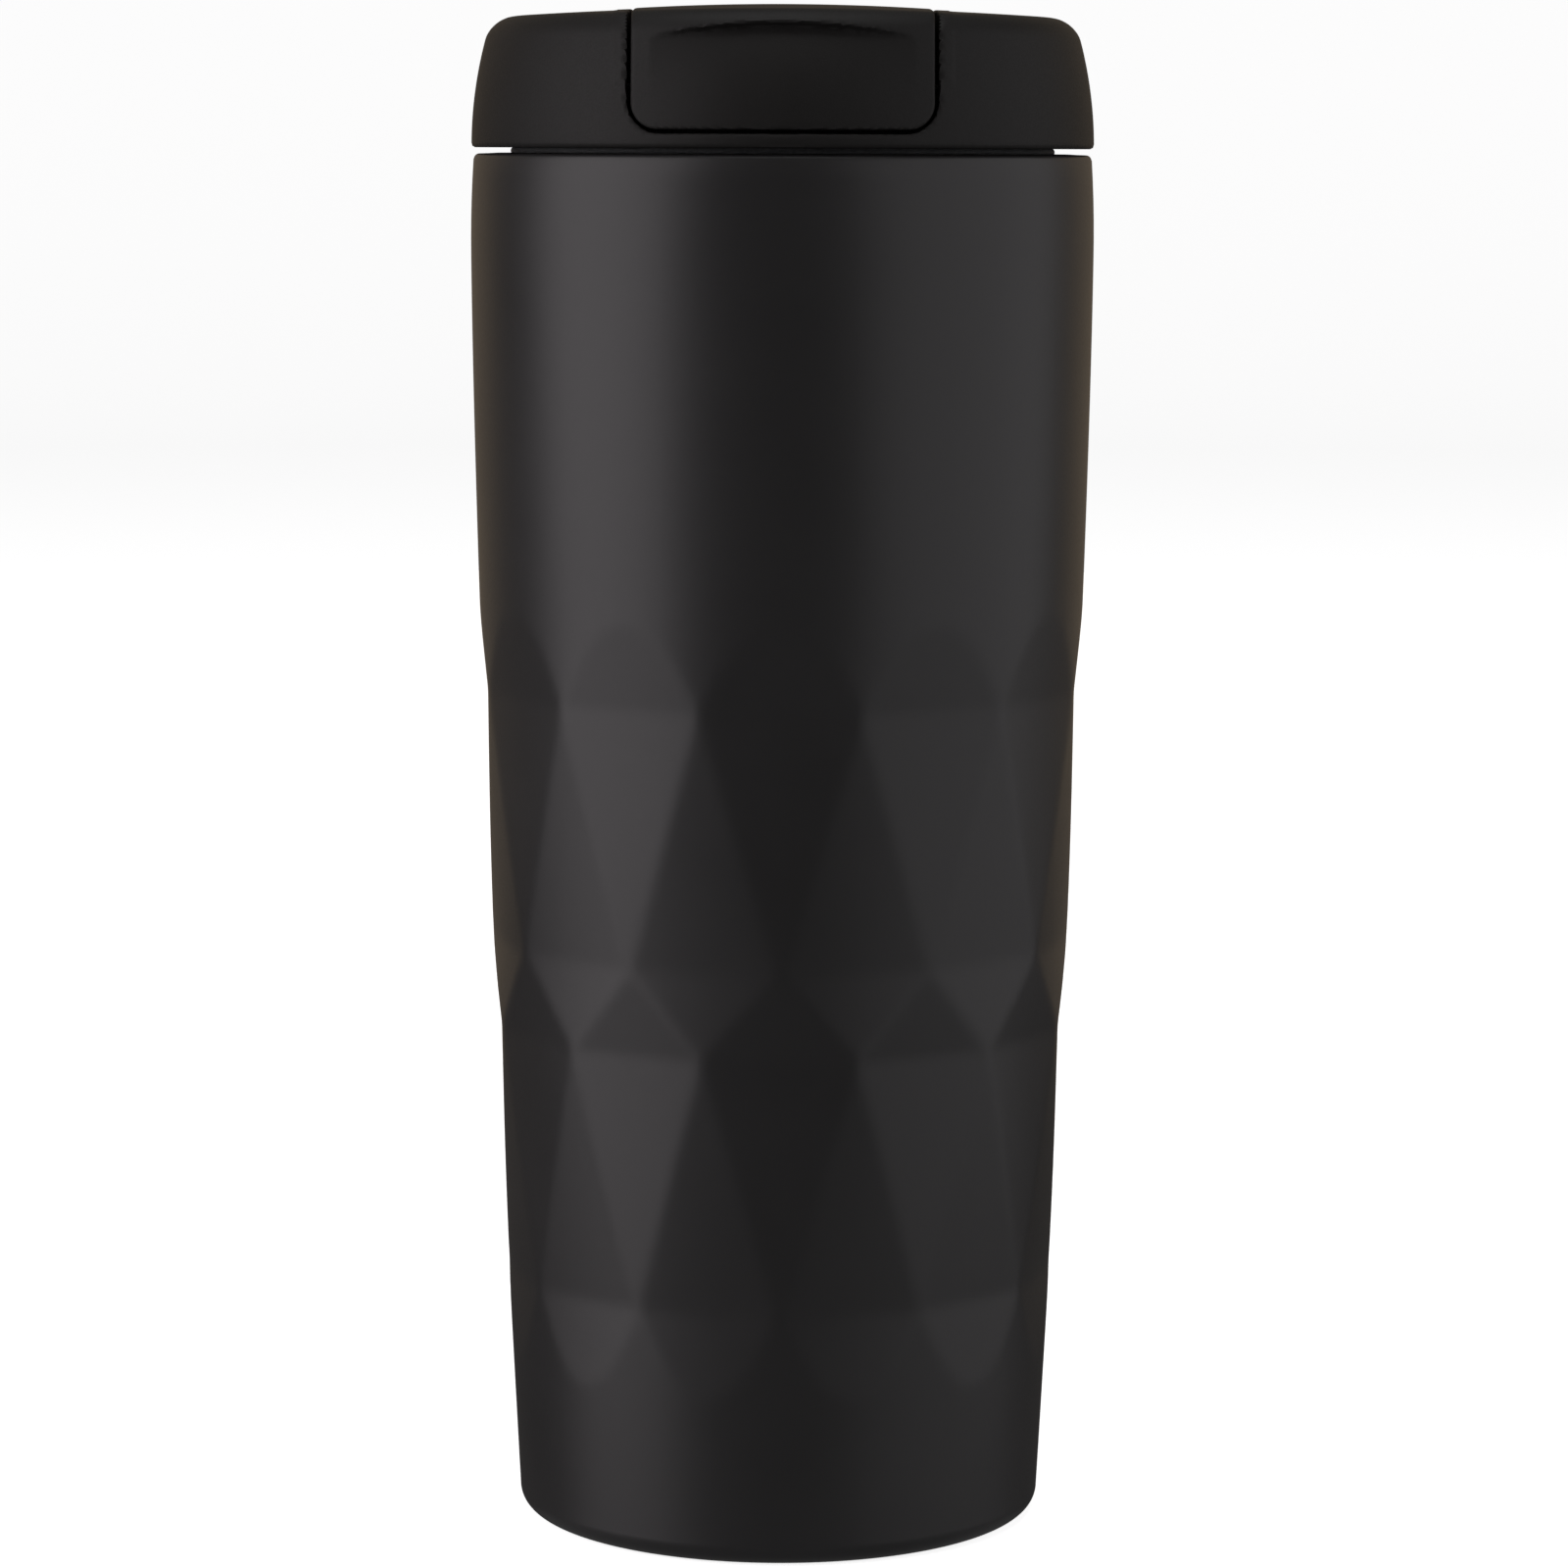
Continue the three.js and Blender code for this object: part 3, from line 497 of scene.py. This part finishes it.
mouth_r = liner_radius(BELLY_Z)
floor_r = liner_radius(LINER_FLOOR + LINER_CORNER) - LINER_CORNER
liner_heights = steps_between(LINER_FLOOR + LINER_CORNER, BELLY_Z, 6)
lip_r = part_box("inner_liner")[1].x / MM
liner_outline = [
    (0, LINER_FLOOR + 0.3),
    (floor_r * 0.55, LINER_FLOOR + 0.2),
    *rounding(floor_r, LINER_FLOOR + LINER_CORNER, LINER_CORNER, -90, -4, 14),
    *[(liner_radius(z), z) for z in liner_heights],
    *rounding(mouth_r + 0.3, BODY_TOP - 0.3, 0.3, 180, 90, 5),
    *rounding(lip_r - 0.15, BODY_TOP - 0.15, 0.15, 90, 0, 3),
    (lip_r, BODY_TOP - LIP_DROP),
    (mouth_r + SHEET, BODY_TOP - LIP_DROP),
    *[(liner_radius(z) + SHEET, z) for z in reversed(liner_heights)],
    *rounding(floor_r, LINER_FLOOR + LINER_CORNER, LINER_CORNER + SHEET, -4, -90, 14),
    (0, LINER_FLOOR - SHEET),
]
liner = turn("liner_cup", liner_outline, 192)
liner.data.materials.append(brushed_steel)
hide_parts("inner_liner")
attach(liner, "tumbler")


# ---------------------------------------------------------------- inside the vacuum
# Between the walls are a wrap of crinkled foil that turns heat back, a pellet of getter powder
# in a small steel cup, and the glass bead melted into the port. They are never seen in use.

foil, tree, shader = new_finish("crinkled_foil", Metallic=1.0)
crinkle = grain(tree, 0.35, 6)
tinted(tree, shader, mapped(tree, crinkle, 0, 1), (0.70, 0.70, 0.71), (0.86, 0.86, 0.87))
tree.links.new(mapped(tree, crinkle, 0.18, 0.34), shader.inputs["Roughness"])
raised(tree, shader, [(crinkle, 0.25)])

getter_powder, tree, shader = new_finish("getter_powder", Metallic=0.6)
powder = grain(tree, 4, 4)
tinted(tree, shader, mapped(tree, powder, 0, 1), (0.10, 0.095, 0.09), (0.22, 0.21, 0.20))
tree.links.new(mapped(tree, powder, 0.6, 0.85), shader.inputs["Roughness"])
raised(tree, shader, [(powder, 0.08)])

port_glass, tree, shader = new_finish("port_glass", IOR=1.52, Transmission_Weight=0.6)
swirl = grain(tree, 0.8, 3)
tinted(tree, shader, mapped(tree, swirl, 0, 1), (0.12, 0.17, 0.16), (0.22, 0.28, 0.27))
tree.links.new(mapped(tree, swirl, 0.05, 0.15), shader.inputs["Roughness"])
raised(tree, shader, [(swirl, 0.05)])

for node, finish in (("foil_wrap", foil), ("getter_pellet", getter_powder), ("getter_cup", brushed_steel),
                     ("port_seal", port_glass)):
    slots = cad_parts[node].data.materials
    slots.clear()
    slots.append(finish)


# ---------------------------------------------------------------- lid cover
# The lid's outer moulding is one injection-moulded shell in black plastic with a fine
# spark-eroded texture. A slot runs from its front over its top for the flap, with a well
# wall round it, and the hinge pin is pressed through the two sides of that well.

lid_low, lid_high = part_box("lid_cover")
FLAP_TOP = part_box("flap_cover")[1].z / MM
FLAP_PROUD = 0.4
SKIRT_Z = lid_low.z / MM
LID_TOP = FLAP_TOP - FLAP_PROUD
LID_RADIUS = lid_high.x / MM
LID_HEIGHT = LID_TOP - SKIRT_Z
LID_LEAN = 3.0
LID_DOME = 1.0
DOME_SPAN = 31.0
LID_SHOULDER = 2.6
LID_WALL = 1.8
SKIRT_EDGE = 0.5
FLAP_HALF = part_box("flap_cover")[1].x / MM
SLOT_GAP = 0.5
SLOT_HALF = FLAP_HALF + SLOT_GAP
SLOT_CORNER = 4.0
SLOT_EDGE = 0.27
SLOT_Z = SKIRT_Z + 1.7
OPEN_TOP = 240.0
WELL_WALL = 1.6
pin_low, pin_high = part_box("hinge_pin")
PIN_Y = (pin_low.y + pin_high.y) / 2 / MM
PIN_Z = (pin_low.z + pin_high.z) / 2 / MM
PIN_R = (pin_high.z - pin_low.z) / 2 / MM
NOSE = 4.9
SLOT_END = PIN_Y + NOSE + 1.3
DECK_Z = LID_TOP - 10


def both(a, b, soft=0.0):
    """What two solids share, with the edge where their faces meet rounded."""
    u, v = np.maximum(a + soft, 0), np.maximum(b + soft, 0)
    return np.minimum(-soft, np.maximum(a, b)) + np.hypot(u, v)


def joined(a, b, soft=0.0):
    """Two solids as one, with the corner between them filled."""
    return -both(-a, -b, soft)


def without(a, b, soft=0.0):
    """A solid with another cut out of it, and the cut's edge rounded."""
    return both(a, -b, soft)


def slab(value, low, high):
    """The space between two planes."""
    return np.maximum(low - value, value - high)


def block(u, v, half_u, half_v, corner):
    """A rectangle round the middle of (u, v), with rounded corners."""
    du, dv = np.abs(u) - half_u + corner, np.abs(v) - half_v + corner
    return np.hypot(np.maximum(du, 0), np.maximum(dv, 0)) + np.minimum(np.maximum(du, dv), 0) - corner


def ring(rr, z, r_in, r_out, z_low, z_high, corner):
    """A turned ring with rounded edges, or a disc where r_in is below zero."""
    return block(rr - (r_in + r_out) / 2, z - (z_low + z_high) / 2,
                 (r_out - r_in) / 2, (z_high - z_low) / 2, corner)


def cast(name, low, high, cell, shape, crease=50):
    """A closed skin round every point where shape(x, y, z) is below zero, in millimetres.
    One point goes in each small cube that the skin crosses, and is then drawn onto it."""
    axes = [np.arange(a - 2 * cell, b + 3 * cell, cell) for a, b in zip(low, high)]
    value = shape(*np.meshgrid(*axes, indexing="ij"))
    cubes = tuple(n - 1 for n in value.shape)
    hits = np.zeros(cubes)
    middle = np.zeros(cubes + (3,))
    crossings = []
    for axis in range(3):
        one, two = (axis + 1) % 3, (axis + 2) % 3
        start = np.take(value, range(cubes[axis]), axis)
        stop = np.take(value, range(1, cubes[axis] + 1), axis)
        crossed = (start < 0) != (stop < 0)
        share = np.where(crossed, start / np.where(crossed, start - stop, 1), 0)
        crossings.append((crossed, start < 0))
        for i in (0, 1):
            for j in (0, 1):
                part = [slice(None)] * 3
                part[one] = slice(i, i + cubes[one])
                part[two] = slice(j, j + cubes[two])
                here = crossed[tuple(part)]
                hits += here
                middle[..., axis] += share[tuple(part)]
                middle[..., one] += i * here
                middle[..., two] += j * here
    used = hits > 0
    number = np.full(cubes, -1)
    number[used] = np.arange(used.sum())
    corner = np.argwhere(used)
    points = corner + middle[used] / hits[used][:, None]
    points = points * cell + [a[0] for a in axes]
    nudge = cell * 0.1
    for _ in range(4):
        here = shape(*points.T)
        slope = np.stack([shape(*(points + nudge * step).T) - shape(*(points - nudge * step).T)
                          for step in np.eye(3)], axis=1) / (2 * nudge)
        move = here[:, None] * slope / np.maximum((slope ** 2).sum(1), 0.05)[:, None]
        points -= np.clip(move, -0.3 * cell, 0.3 * cell)
    faces = []
    for axis, (crossed, leaving) in enumerate(crossings):
        one, two = (axis + 1) % 3, (axis + 2) % 3
        inner = [slice(None)] * 3
        inner[one] = slice(1, -1)
        inner[two] = slice(1, -1)
        at = np.argwhere(crossed[tuple(inner)])
        at[:, one] += 1
        at[:, two] += 1
        corners = []
        for i, j in ((1, 1), (0, 1), (0, 0), (1, 0)):
            cube = at.copy()
            cube[:, one] -= i
            cube[:, two] -= j
            corners.append(number[tuple(cube.T)])
        quads = np.stack(corners, axis=1)
        outward = leaving[tuple(at.T)]
        faces.append(np.where(outward[:, None], quads, quads[:, ::-1]))
    made = set_down(name, (points * MM).tolist(), np.concatenate(faces).tolist())
    soften(made, crease)
    return made


def lid_wall(z):
    """The radius of the lid's side at a height: upright at the skirt, leaning in at the top."""
    return LID_RADIUS - LID_LEAN * (np.clip(z - SKIRT_Z, 0, LID_HEIGHT) / LID_HEIGHT) ** 2


def lid_dome(rr, inset=0.0):
    """The height of the lid's top at a distance from its axis."""
    return LID_TOP - inset - LID_DOME * (rr / DOME_SPAN) ** 2


def cover_shape(x, y, z):
    """A hollow cap with a well across it, the flap's slot cut through both, and the pin's hole."""
    rr = np.hypot(x, y)
    outer = both(rr - lid_wall(z), z - lid_dome(rr), LID_SHOULDER)
    solid = both(outer, SKIRT_Z - z, SKIRT_EDGE)
    hollow = both(rr - lid_wall(z) + LID_WALL, z - lid_dome(rr, LID_WALL), LID_SHOULDER - LID_WALL)
    shell_part = without(solid, hollow, 0.3)
    well_half = SLOT_HALF + WELL_WALL
    well = both(both(np.abs(x) - well_half, y - SLOT_END - WELL_WALL, 1.0), DECK_Z + FIT - z, 0.2)
    shell_part = joined(shell_part, np.maximum(well, outer), 0.3)
    slot_mid = (SLOT_Z + OPEN_TOP) / 2
    opening = block(x, z - slot_mid, SLOT_HALF, slot_mid - SLOT_Z, SLOT_CORNER)
    opening = both(opening, y - SLOT_END, 1.2)
    shell_part = without(shell_part, opening, SLOT_EDGE)
    pin_hole = np.hypot(y - PIN_Y, z - PIN_Z) - PIN_R - 0.1
    return without(shell_part, np.maximum(pin_hole, np.abs(x) - well_half - 1), 0.1)


black_plastic, tree, shader = new_finish("black_plastic", Metallic=0.0, IOR=1.48, Specular_IOR_Level=0.25)
texture = grain(tree, 4.5, 2)
flow = grain(tree, 0.05, 3)
tinted(tree, shader, mapped(tree, flow, 0, 1), (0.0120, 0.0113, 0.0108), (0.0158, 0.0150, 0.0144))
uneven = add_node(tree, "ShaderNodeMath", operation="ADD")
tree.links.new(mapped(tree, flow, 0.52, 0.58), uneven.inputs[0])
tree.links.new(mapped(tree, texture, -0.05, 0.05), uneven.inputs[1])
tree.links.new(uneven.outputs[0], shader.inputs["Roughness"])
raised(tree, shader, [(texture, 0.012)])

cover = cast("lid_cover_moulding", (-LID_RADIUS, -LID_RADIUS, SKIRT_Z), (LID_RADIUS, LID_RADIUS, LID_TOP),
             0.4, cover_shape)
cover.data.materials.append(black_plastic)
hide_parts("lid_cover")
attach(cover, "lid")


# ---------------------------------------------------------------- lid body
# The lower moulding carries the drinking deck, the drum wall behind the flap's apron, the
# flange that snaps into the cover, and the plug with its groove for the silicone ring.

body_low, body_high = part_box("lid_body")
PLUG_FOOT = body_low.z / MM
FLANGE_R = body_high.x / MM
FLANGE_Z = SKIRT_Z + 0.4
FLANGE_TOP = FLANGE_Z + 1.5
DRUM_R = LID_RADIUS - LID_WALL - 1.6
DECK_SHEET = 1.8
DECK_EDGE = 0.55
GROOVE_DEPTH = 2.1
FOOT_LIP = 1.5
FOOT_HEIGHT = 2.6
gasket_low, gasket_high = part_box("mouth_gasket")
PLUG_R = mouth_r - FIT - GROOVE_DEPTH
PLUG_IN = PLUG_R - DECK_SHEET
SPOUT_Y = 9.6 - DRUM_R
SPOUT_HALF = 7.5
SPOUT_ROUND = 3.25
VENT_Y = 4.0
SPOUT_RIM = 1.2
SPOUT_RIM_WIDTH = 1.5
VENT_R = 1.3
VENT_RIM = 0.6


def oblong(x, y, grow):
    """The drinking opening's outline seen from above, grown by so many millimetres."""
    return block(x, y - SPOUT_Y, SPOUT_HALF + grow, SPOUT_ROUND + grow, SPOUT_ROUND + grow - 0.05)


def lid_body_shape(x, y, z):
    """Deck, drum, flange and plug in one, with raised rims round the two openings."""
    rr = np.hypot(x, y)
    deck = ring(rr, z, -DRUM_R, DRUM_R, DECK_Z - DECK_SHEET, DECK_Z, DECK_EDGE)
    drum = ring(rr, z, DRUM_R - DECK_SHEET, DRUM_R, FLANGE_Z, DECK_Z, DECK_EDGE)
    flange = ring(rr, z, PLUG_IN, FLANGE_R, FLANGE_Z, FLANGE_TOP, 0.3)
    plug = ring(rr, z, PLUG_IN, PLUG_R, PLUG_FOOT, FLANGE_TOP, 0.5)
    foot = ring(rr, z, PLUG_IN, PLUG_R + FOOT_LIP, PLUG_FOOT, PLUG_FOOT + FOOT_HEIGHT, 0.6)
    solid = joined(joined(deck, drum, 0.8), joined(joined(plug, foot, 0.4), flange, 0.5), 0.5)
    rim = both(oblong(x, y, SPOUT_RIM_WIDTH), slab(z, DECK_Z - 1, DECK_Z + SPOUT_RIM), 0.6)
    vent_rr = np.hypot(x, y - VENT_Y)
    vent_rim = both(vent_rr - 2 * VENT_R, slab(z, DECK_Z - 1, DECK_Z + VENT_RIM), 0.3)
    solid = joined(joined(solid, rim, 0.6), vent_rim, 0.3)
    spout = block(x, y - SPOUT_Y, SPOUT_HALF, SPOUT_ROUND, SPOUT_ROUND - 0.01)
    through = slab(z, DECK_Z - 4, DECK_Z + 4)
    solid = without(solid, np.maximum(spout, through), 0.4)
    return without(solid, np.maximum(vent_rr - VENT_R, through), 0.2)


lid_body = cast("lid_body_moulding", (-FLANGE_R, -FLANGE_R, PLUG_FOOT),
                (FLANGE_R, FLANGE_R, DECK_Z + SPOUT_RIM), 0.5, lid_body_shape)
lid_body.data.materials.append(black_plastic)
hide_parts("lid_body")
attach(lid_body, "lid")


# ---------------------------------------------------------------- mouth gasket
# A moulded ring of grey silicone sits in the plug's groove. Two soft ribs seal against the
# liner, and a thicker bead at its top closes the mouth and shows in the gap under the lid.

def silicone(name, dark, light):
    """Soft moulded silicone: faintly dusty, with a skin like fine leather."""
    finish, tree, shader = new_finish(name, IOR=1.42, Specular_IOR_Level=0.45)
    dust = grain(tree, 1.8, 4)
    tinted(tree, shader, mapped(tree, dust, 0, 1), dark, light)
    tree.links.new(mapped(tree, dust, 0.5, 0.68), shader.inputs["Roughness"])
    raised(tree, shader, [(dust, 0.008)])
    return finish


grey_silicone = silicone("grey_silicone", (0.13, 0.135, 0.14), (0.17, 0.175, 0.18))

seal_in = PLUG_R + FIT
seal_foot, seal_top = gasket_low.z / MM, gasket_high.z / MM
rib_r = gasket_high.x / MM
RIB_DEPTH = 0.6
RIB_HALF = 0.6
RIB_HEIGHTS = (0.22, 0.55)
BEAD_HEIGHT = 1.3
seal_r = rib_r - RIB_DEPTH
seal_outline = [(seal_in, seal_foot), *rounding(seal_r - 0.3, seal_foot + 0.3, 0.3, -90, 0, 4)]
for share in RIB_HEIGHTS:
    rib_z = seal_foot + share * (seal_top - seal_foot)
    seal_outline += [(seal_r, rib_z - RIB_HALF), (seal_r + 0.25, rib_z - 0.7 * RIB_HALF)]
    seal_outline += rounding(rib_r - 0.25, rib_z, 0.25, -60, 60, 6)
    seal_outline += [(seal_r + 0.25, rib_z + 0.7 * RIB_HALF), (seal_r, rib_z + RIB_HALF)]
seal_outline += [
    (seal_r, seal_top - BEAD_HEIGHT),
    *rounding(rib_r - 0.5, seal_top - 0.5, 0.5, -50, 90, 10),
    (seal_in, seal_top),
]
gasket = turn("gasket_ring", seal_outline, 192)
gasket.data.materials.append(grey_silicone)
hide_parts("mouth_gasket")
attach(gasket, "seal_ring")


# ---------------------------------------------------------------- hinge pin
# The flap turns on a plain stainless pin with lightly broken ends, which is pressed through
# the well's two walls and through the knuckle of the flap's inner plate.

PIN_EDGE = 0.25
PIN_PLAY = 0.25
pin_left, pin_right = pin_low.x / MM, pin_high.x / MM
pin = turn("pin_rod", [
    (0, pin_left),
    (PIN_R - PIN_EDGE, pin_left),
    (PIN_R, pin_left + PIN_EDGE),
    (PIN_R, pin_right - PIN_EDGE),
    (PIN_R - PIN_EDGE, pin_right),
    (0, pin_right),
], 48)
for point in pin.data.vertices:
    x, y, z = point.co
    point.co = (z, y + PIN_Y * MM, PIN_Z * MM - x)
pin.data.update()
pin.data.materials.append(brushed_steel)
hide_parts("hinge_pin")
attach(pin, "lid")


# ---------------------------------------------------------------- flap cover
# The flap is moulded in the same plastic. It covers the deck, and its apron hangs down the
# lid's front, where a hollow under a bowed ledge gives the thumb something to push up on.

FLAP_CROWN = 0.2
APRON_IN = DRUM_R + 0.48
APRON_LIP = 2.2
POCKET_R = APRON_IN - APRON_LIP
POCKET_NOSE_R = 3.6
FLAP_FOOT = SLOT_Z + SLOT_GAP
FLAP_CORNER = 3.2
FLAP_EDGE = 0.18
FLAP_SIDE = 1.6
ROOF_UNDER = FLAP_TOP - 2 - LID_DOME * (APRON_IN / DOME_SPAN) ** 2
SIDE_FOOT = PIN_Z - 3.2
LEDGE_Z = FLAP_TOP - 2.8
LEDGE_BOW = 1.6
CATCH_HALF = 15.8
CATCH_DEPTH = 1.7
CATCH_FALL = 10.0
CATCH_STEP = 0.6


def thumb_hollow(x, z):
    """How far the front is hollowed: nothing above the ledge, most just under it."""
    across = np.clip(1 - (x / CATCH_HALF) ** 2, 0, 1)
    below = LEDGE_Z - LEDGE_BOW * (x / CATCH_HALF) ** 2 - z
    under = np.clip(below / CATCH_STEP, 0, 1)
    under = under * under * (3 - 2 * under)
    runs_out = np.clip(1 - below / CATCH_FALL, 0, 1) ** 2
    return CATCH_DEPTH * across * under * runs_out


def flap_shape(x, y, z):
    """A slice of the lid's own outside, hollowed from below, with a round nose at the hinge."""
    rr = np.hypot(x, y)
    roof = lid_dome(rr) + FLAP_PROUD - FLAP_CROWN * (x / FLAP_HALF) ** 2
    blank = both(rr - lid_wall(z) + thumb_hollow(x, z), z - roof, LID_SHOULDER - 0.2)
    mid = (FLAP_FOOT + OPEN_TOP) / 2
    front = block(x, z - mid, FLAP_HALF, mid - FLAP_FOOT, FLAP_CORNER)
    hinge_rr = np.hypot(y - PIN_Y, z - PIN_Z)
    behind = np.maximum(rr - APRON_IN, z - DECK_Z - 0.9)
    behind = joined(behind, np.maximum(rr - POCKET_R, z - SIDE_FOOT), 0.3)
    flap = without(both(both(blank, front, FLAP_EDGE), y - PIN_Y), behind, 0.4)
    nose = both(both(hinge_rr - NOSE, np.abs(x) - FLAP_HALF, FLAP_EDGE), blank, 0.2)
    flap = np.minimum(flap, nose)
    inside = np.abs(x) - FLAP_HALF + FLAP_SIDE
    pocket = np.maximum(np.maximum(rr - POCKET_R, z - ROOF_UNDER), np.maximum(y - PIN_Y, inside))
    pocket = np.minimum(pocket, np.maximum(hinge_rr - POCKET_NOSE_R, inside))
    flap = without(flap, pocket, 0.3)
    return without(flap, np.maximum(hinge_rr - PIN_R - PIN_PLAY, np.abs(x) - FLAP_HALF - 1), 0.15)


flap_low, flap_high = [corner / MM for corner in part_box("flap_cover")]
flap = cast("flap_moulding", flap_low, flap_high, 0.36, flap_shape)
flap.data.materials.append(black_plastic)
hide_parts("flap_cover")
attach(flap, "flap")


# ---------------------------------------------------------------- flap base and stoppers
# A flat plate snaps into the flap from below. It has the hinge knuckle across its rear, and
# two silicone stoppers are pulled up through it by their stems.

black_silicone = silicone("black_silicone", (0.009, 0.009, 0.009), (0.016, 0.016, 0.016))
base_low, base_high = [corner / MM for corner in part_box("flap_base")]
PLATE_DROP = 0.6
PLATE_SHEET = 1.3
PLATE_Z = PIN_Z - PLATE_DROP
PLATE_TOP = PLATE_Z + PLATE_SHEET
PLATE_HALF = base_high.x
KNUCKLE_R = 3.2
SPOUT_STEM = 2.0
VENT_STEM = 1.2


def flap_base_shape(x, y, z):
    """A plate with a knuckle across its rear edge, and holes for the pin and the two stems."""
    rr = np.hypot(x, y)
    outline = both(rr - POCKET_R + FIT, np.abs(x) - PLATE_HALF, 1.5)
    plate = both(both(outline, y - PIN_Y), slab(z, PLATE_Z, PLATE_TOP), 0.35)
    hinge_rr = np.hypot(y - PIN_Y, z - PIN_Z)
    knuckle = both(hinge_rr - KNUCKLE_R, np.abs(x) - PLATE_HALF, 0.3)
    solid = joined(plate, knuckle, 0.8)
    solid = without(solid, np.hypot(x, y - SPOUT_Y) - SPOUT_STEM - FIT, 0.15)
    solid = without(solid, np.hypot(x, y - VENT_Y) - VENT_STEM - FIT, 0.15)
    return without(solid, hinge_rr - PIN_R - PIN_PLAY, 0.15)


flap_base = cast("flap_inner_plate", base_low, base_high, 0.4, flap_base_shape)
flap_base.data.materials.append(black_plastic)
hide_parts("flap_base")
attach(flap_base, "flap")

seat = DECK_Z + SPOUT_RIM + FIT
pad_top = PLATE_Z - FIT


def spout_stopper_shape(x, y, z):
    """A grooved pad with a lip that enters the opening, and a stem with a head above the plate."""
    pad = both(oblong(x, y, 1.2), slab(z, seat, pad_top), 0.7)
    groove = np.maximum(-oblong(x, y, 0.2), np.abs(z - (seat + pad_top) / 2) - 0.45)
    pad = without(pad, groove, 0.3)
    lip = both(oblong(x, y, -0.6), slab(z, seat - 0.9, seat + 1), 0.35)
    stem_rr = np.hypot(x, y - SPOUT_Y)
    stem = np.maximum(stem_rr - SPOUT_STEM, slab(z, pad_top - 1, PLATE_TOP + 2 * FIT))
    head = both(stem_rr - SPOUT_STEM - 1.2, slab(z, PLATE_TOP + FIT, PLATE_TOP + 1.0), 0.25)
    return joined(joined(pad, lip, 0.3), joined(stem, head, 0.2), 0.3)


stop_low, stop_high = [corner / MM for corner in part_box("spout_stopper")]
spout_stopper = cast("spout_stopper_pad", stop_low, stop_high, 0.24, spout_stopper_shape)
spout_stopper.data.materials.append(black_silicone)
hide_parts("spout_stopper")
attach(spout_stopper, "flap")

vent_seat = DECK_Z + VENT_RIM + FIT
vent_outline = [
    (0, vent_seat - 0.5),
    *rounding(VENT_R - 0.59, vent_seat - 0.3, 0.2, -90, 0, 4),
    (VENT_R - 0.39, vent_seat),
    *rounding(2 * VENT_R - 0.4, vent_seat + 0.4, 0.4, -90, 10, 6),
    *rounding(1.6 * VENT_R - 0.3, pad_top - 0.3, 0.3, 10, 90, 5),
    (VENT_STEM, pad_top),
    (VENT_STEM, PLATE_TOP + FIT),
    (VENT_STEM + 0.8, PLATE_TOP + FIT),
    *rounding(1.4, PLATE_TOP + 0.7, 0.3, 20, 90, 4),
    (0, PLATE_TOP + 1.0),
]
vent_stopper = turn("vent_stopper_cone", vent_outline, 64)
for point in vent_stopper.data.vertices:
    point.co.y += VENT_Y * MM
vent_stopper.data.update()
vent_stopper.data.materials.append(black_silicone)
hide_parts("vent_stopper")
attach(vent_stopper, "flap")
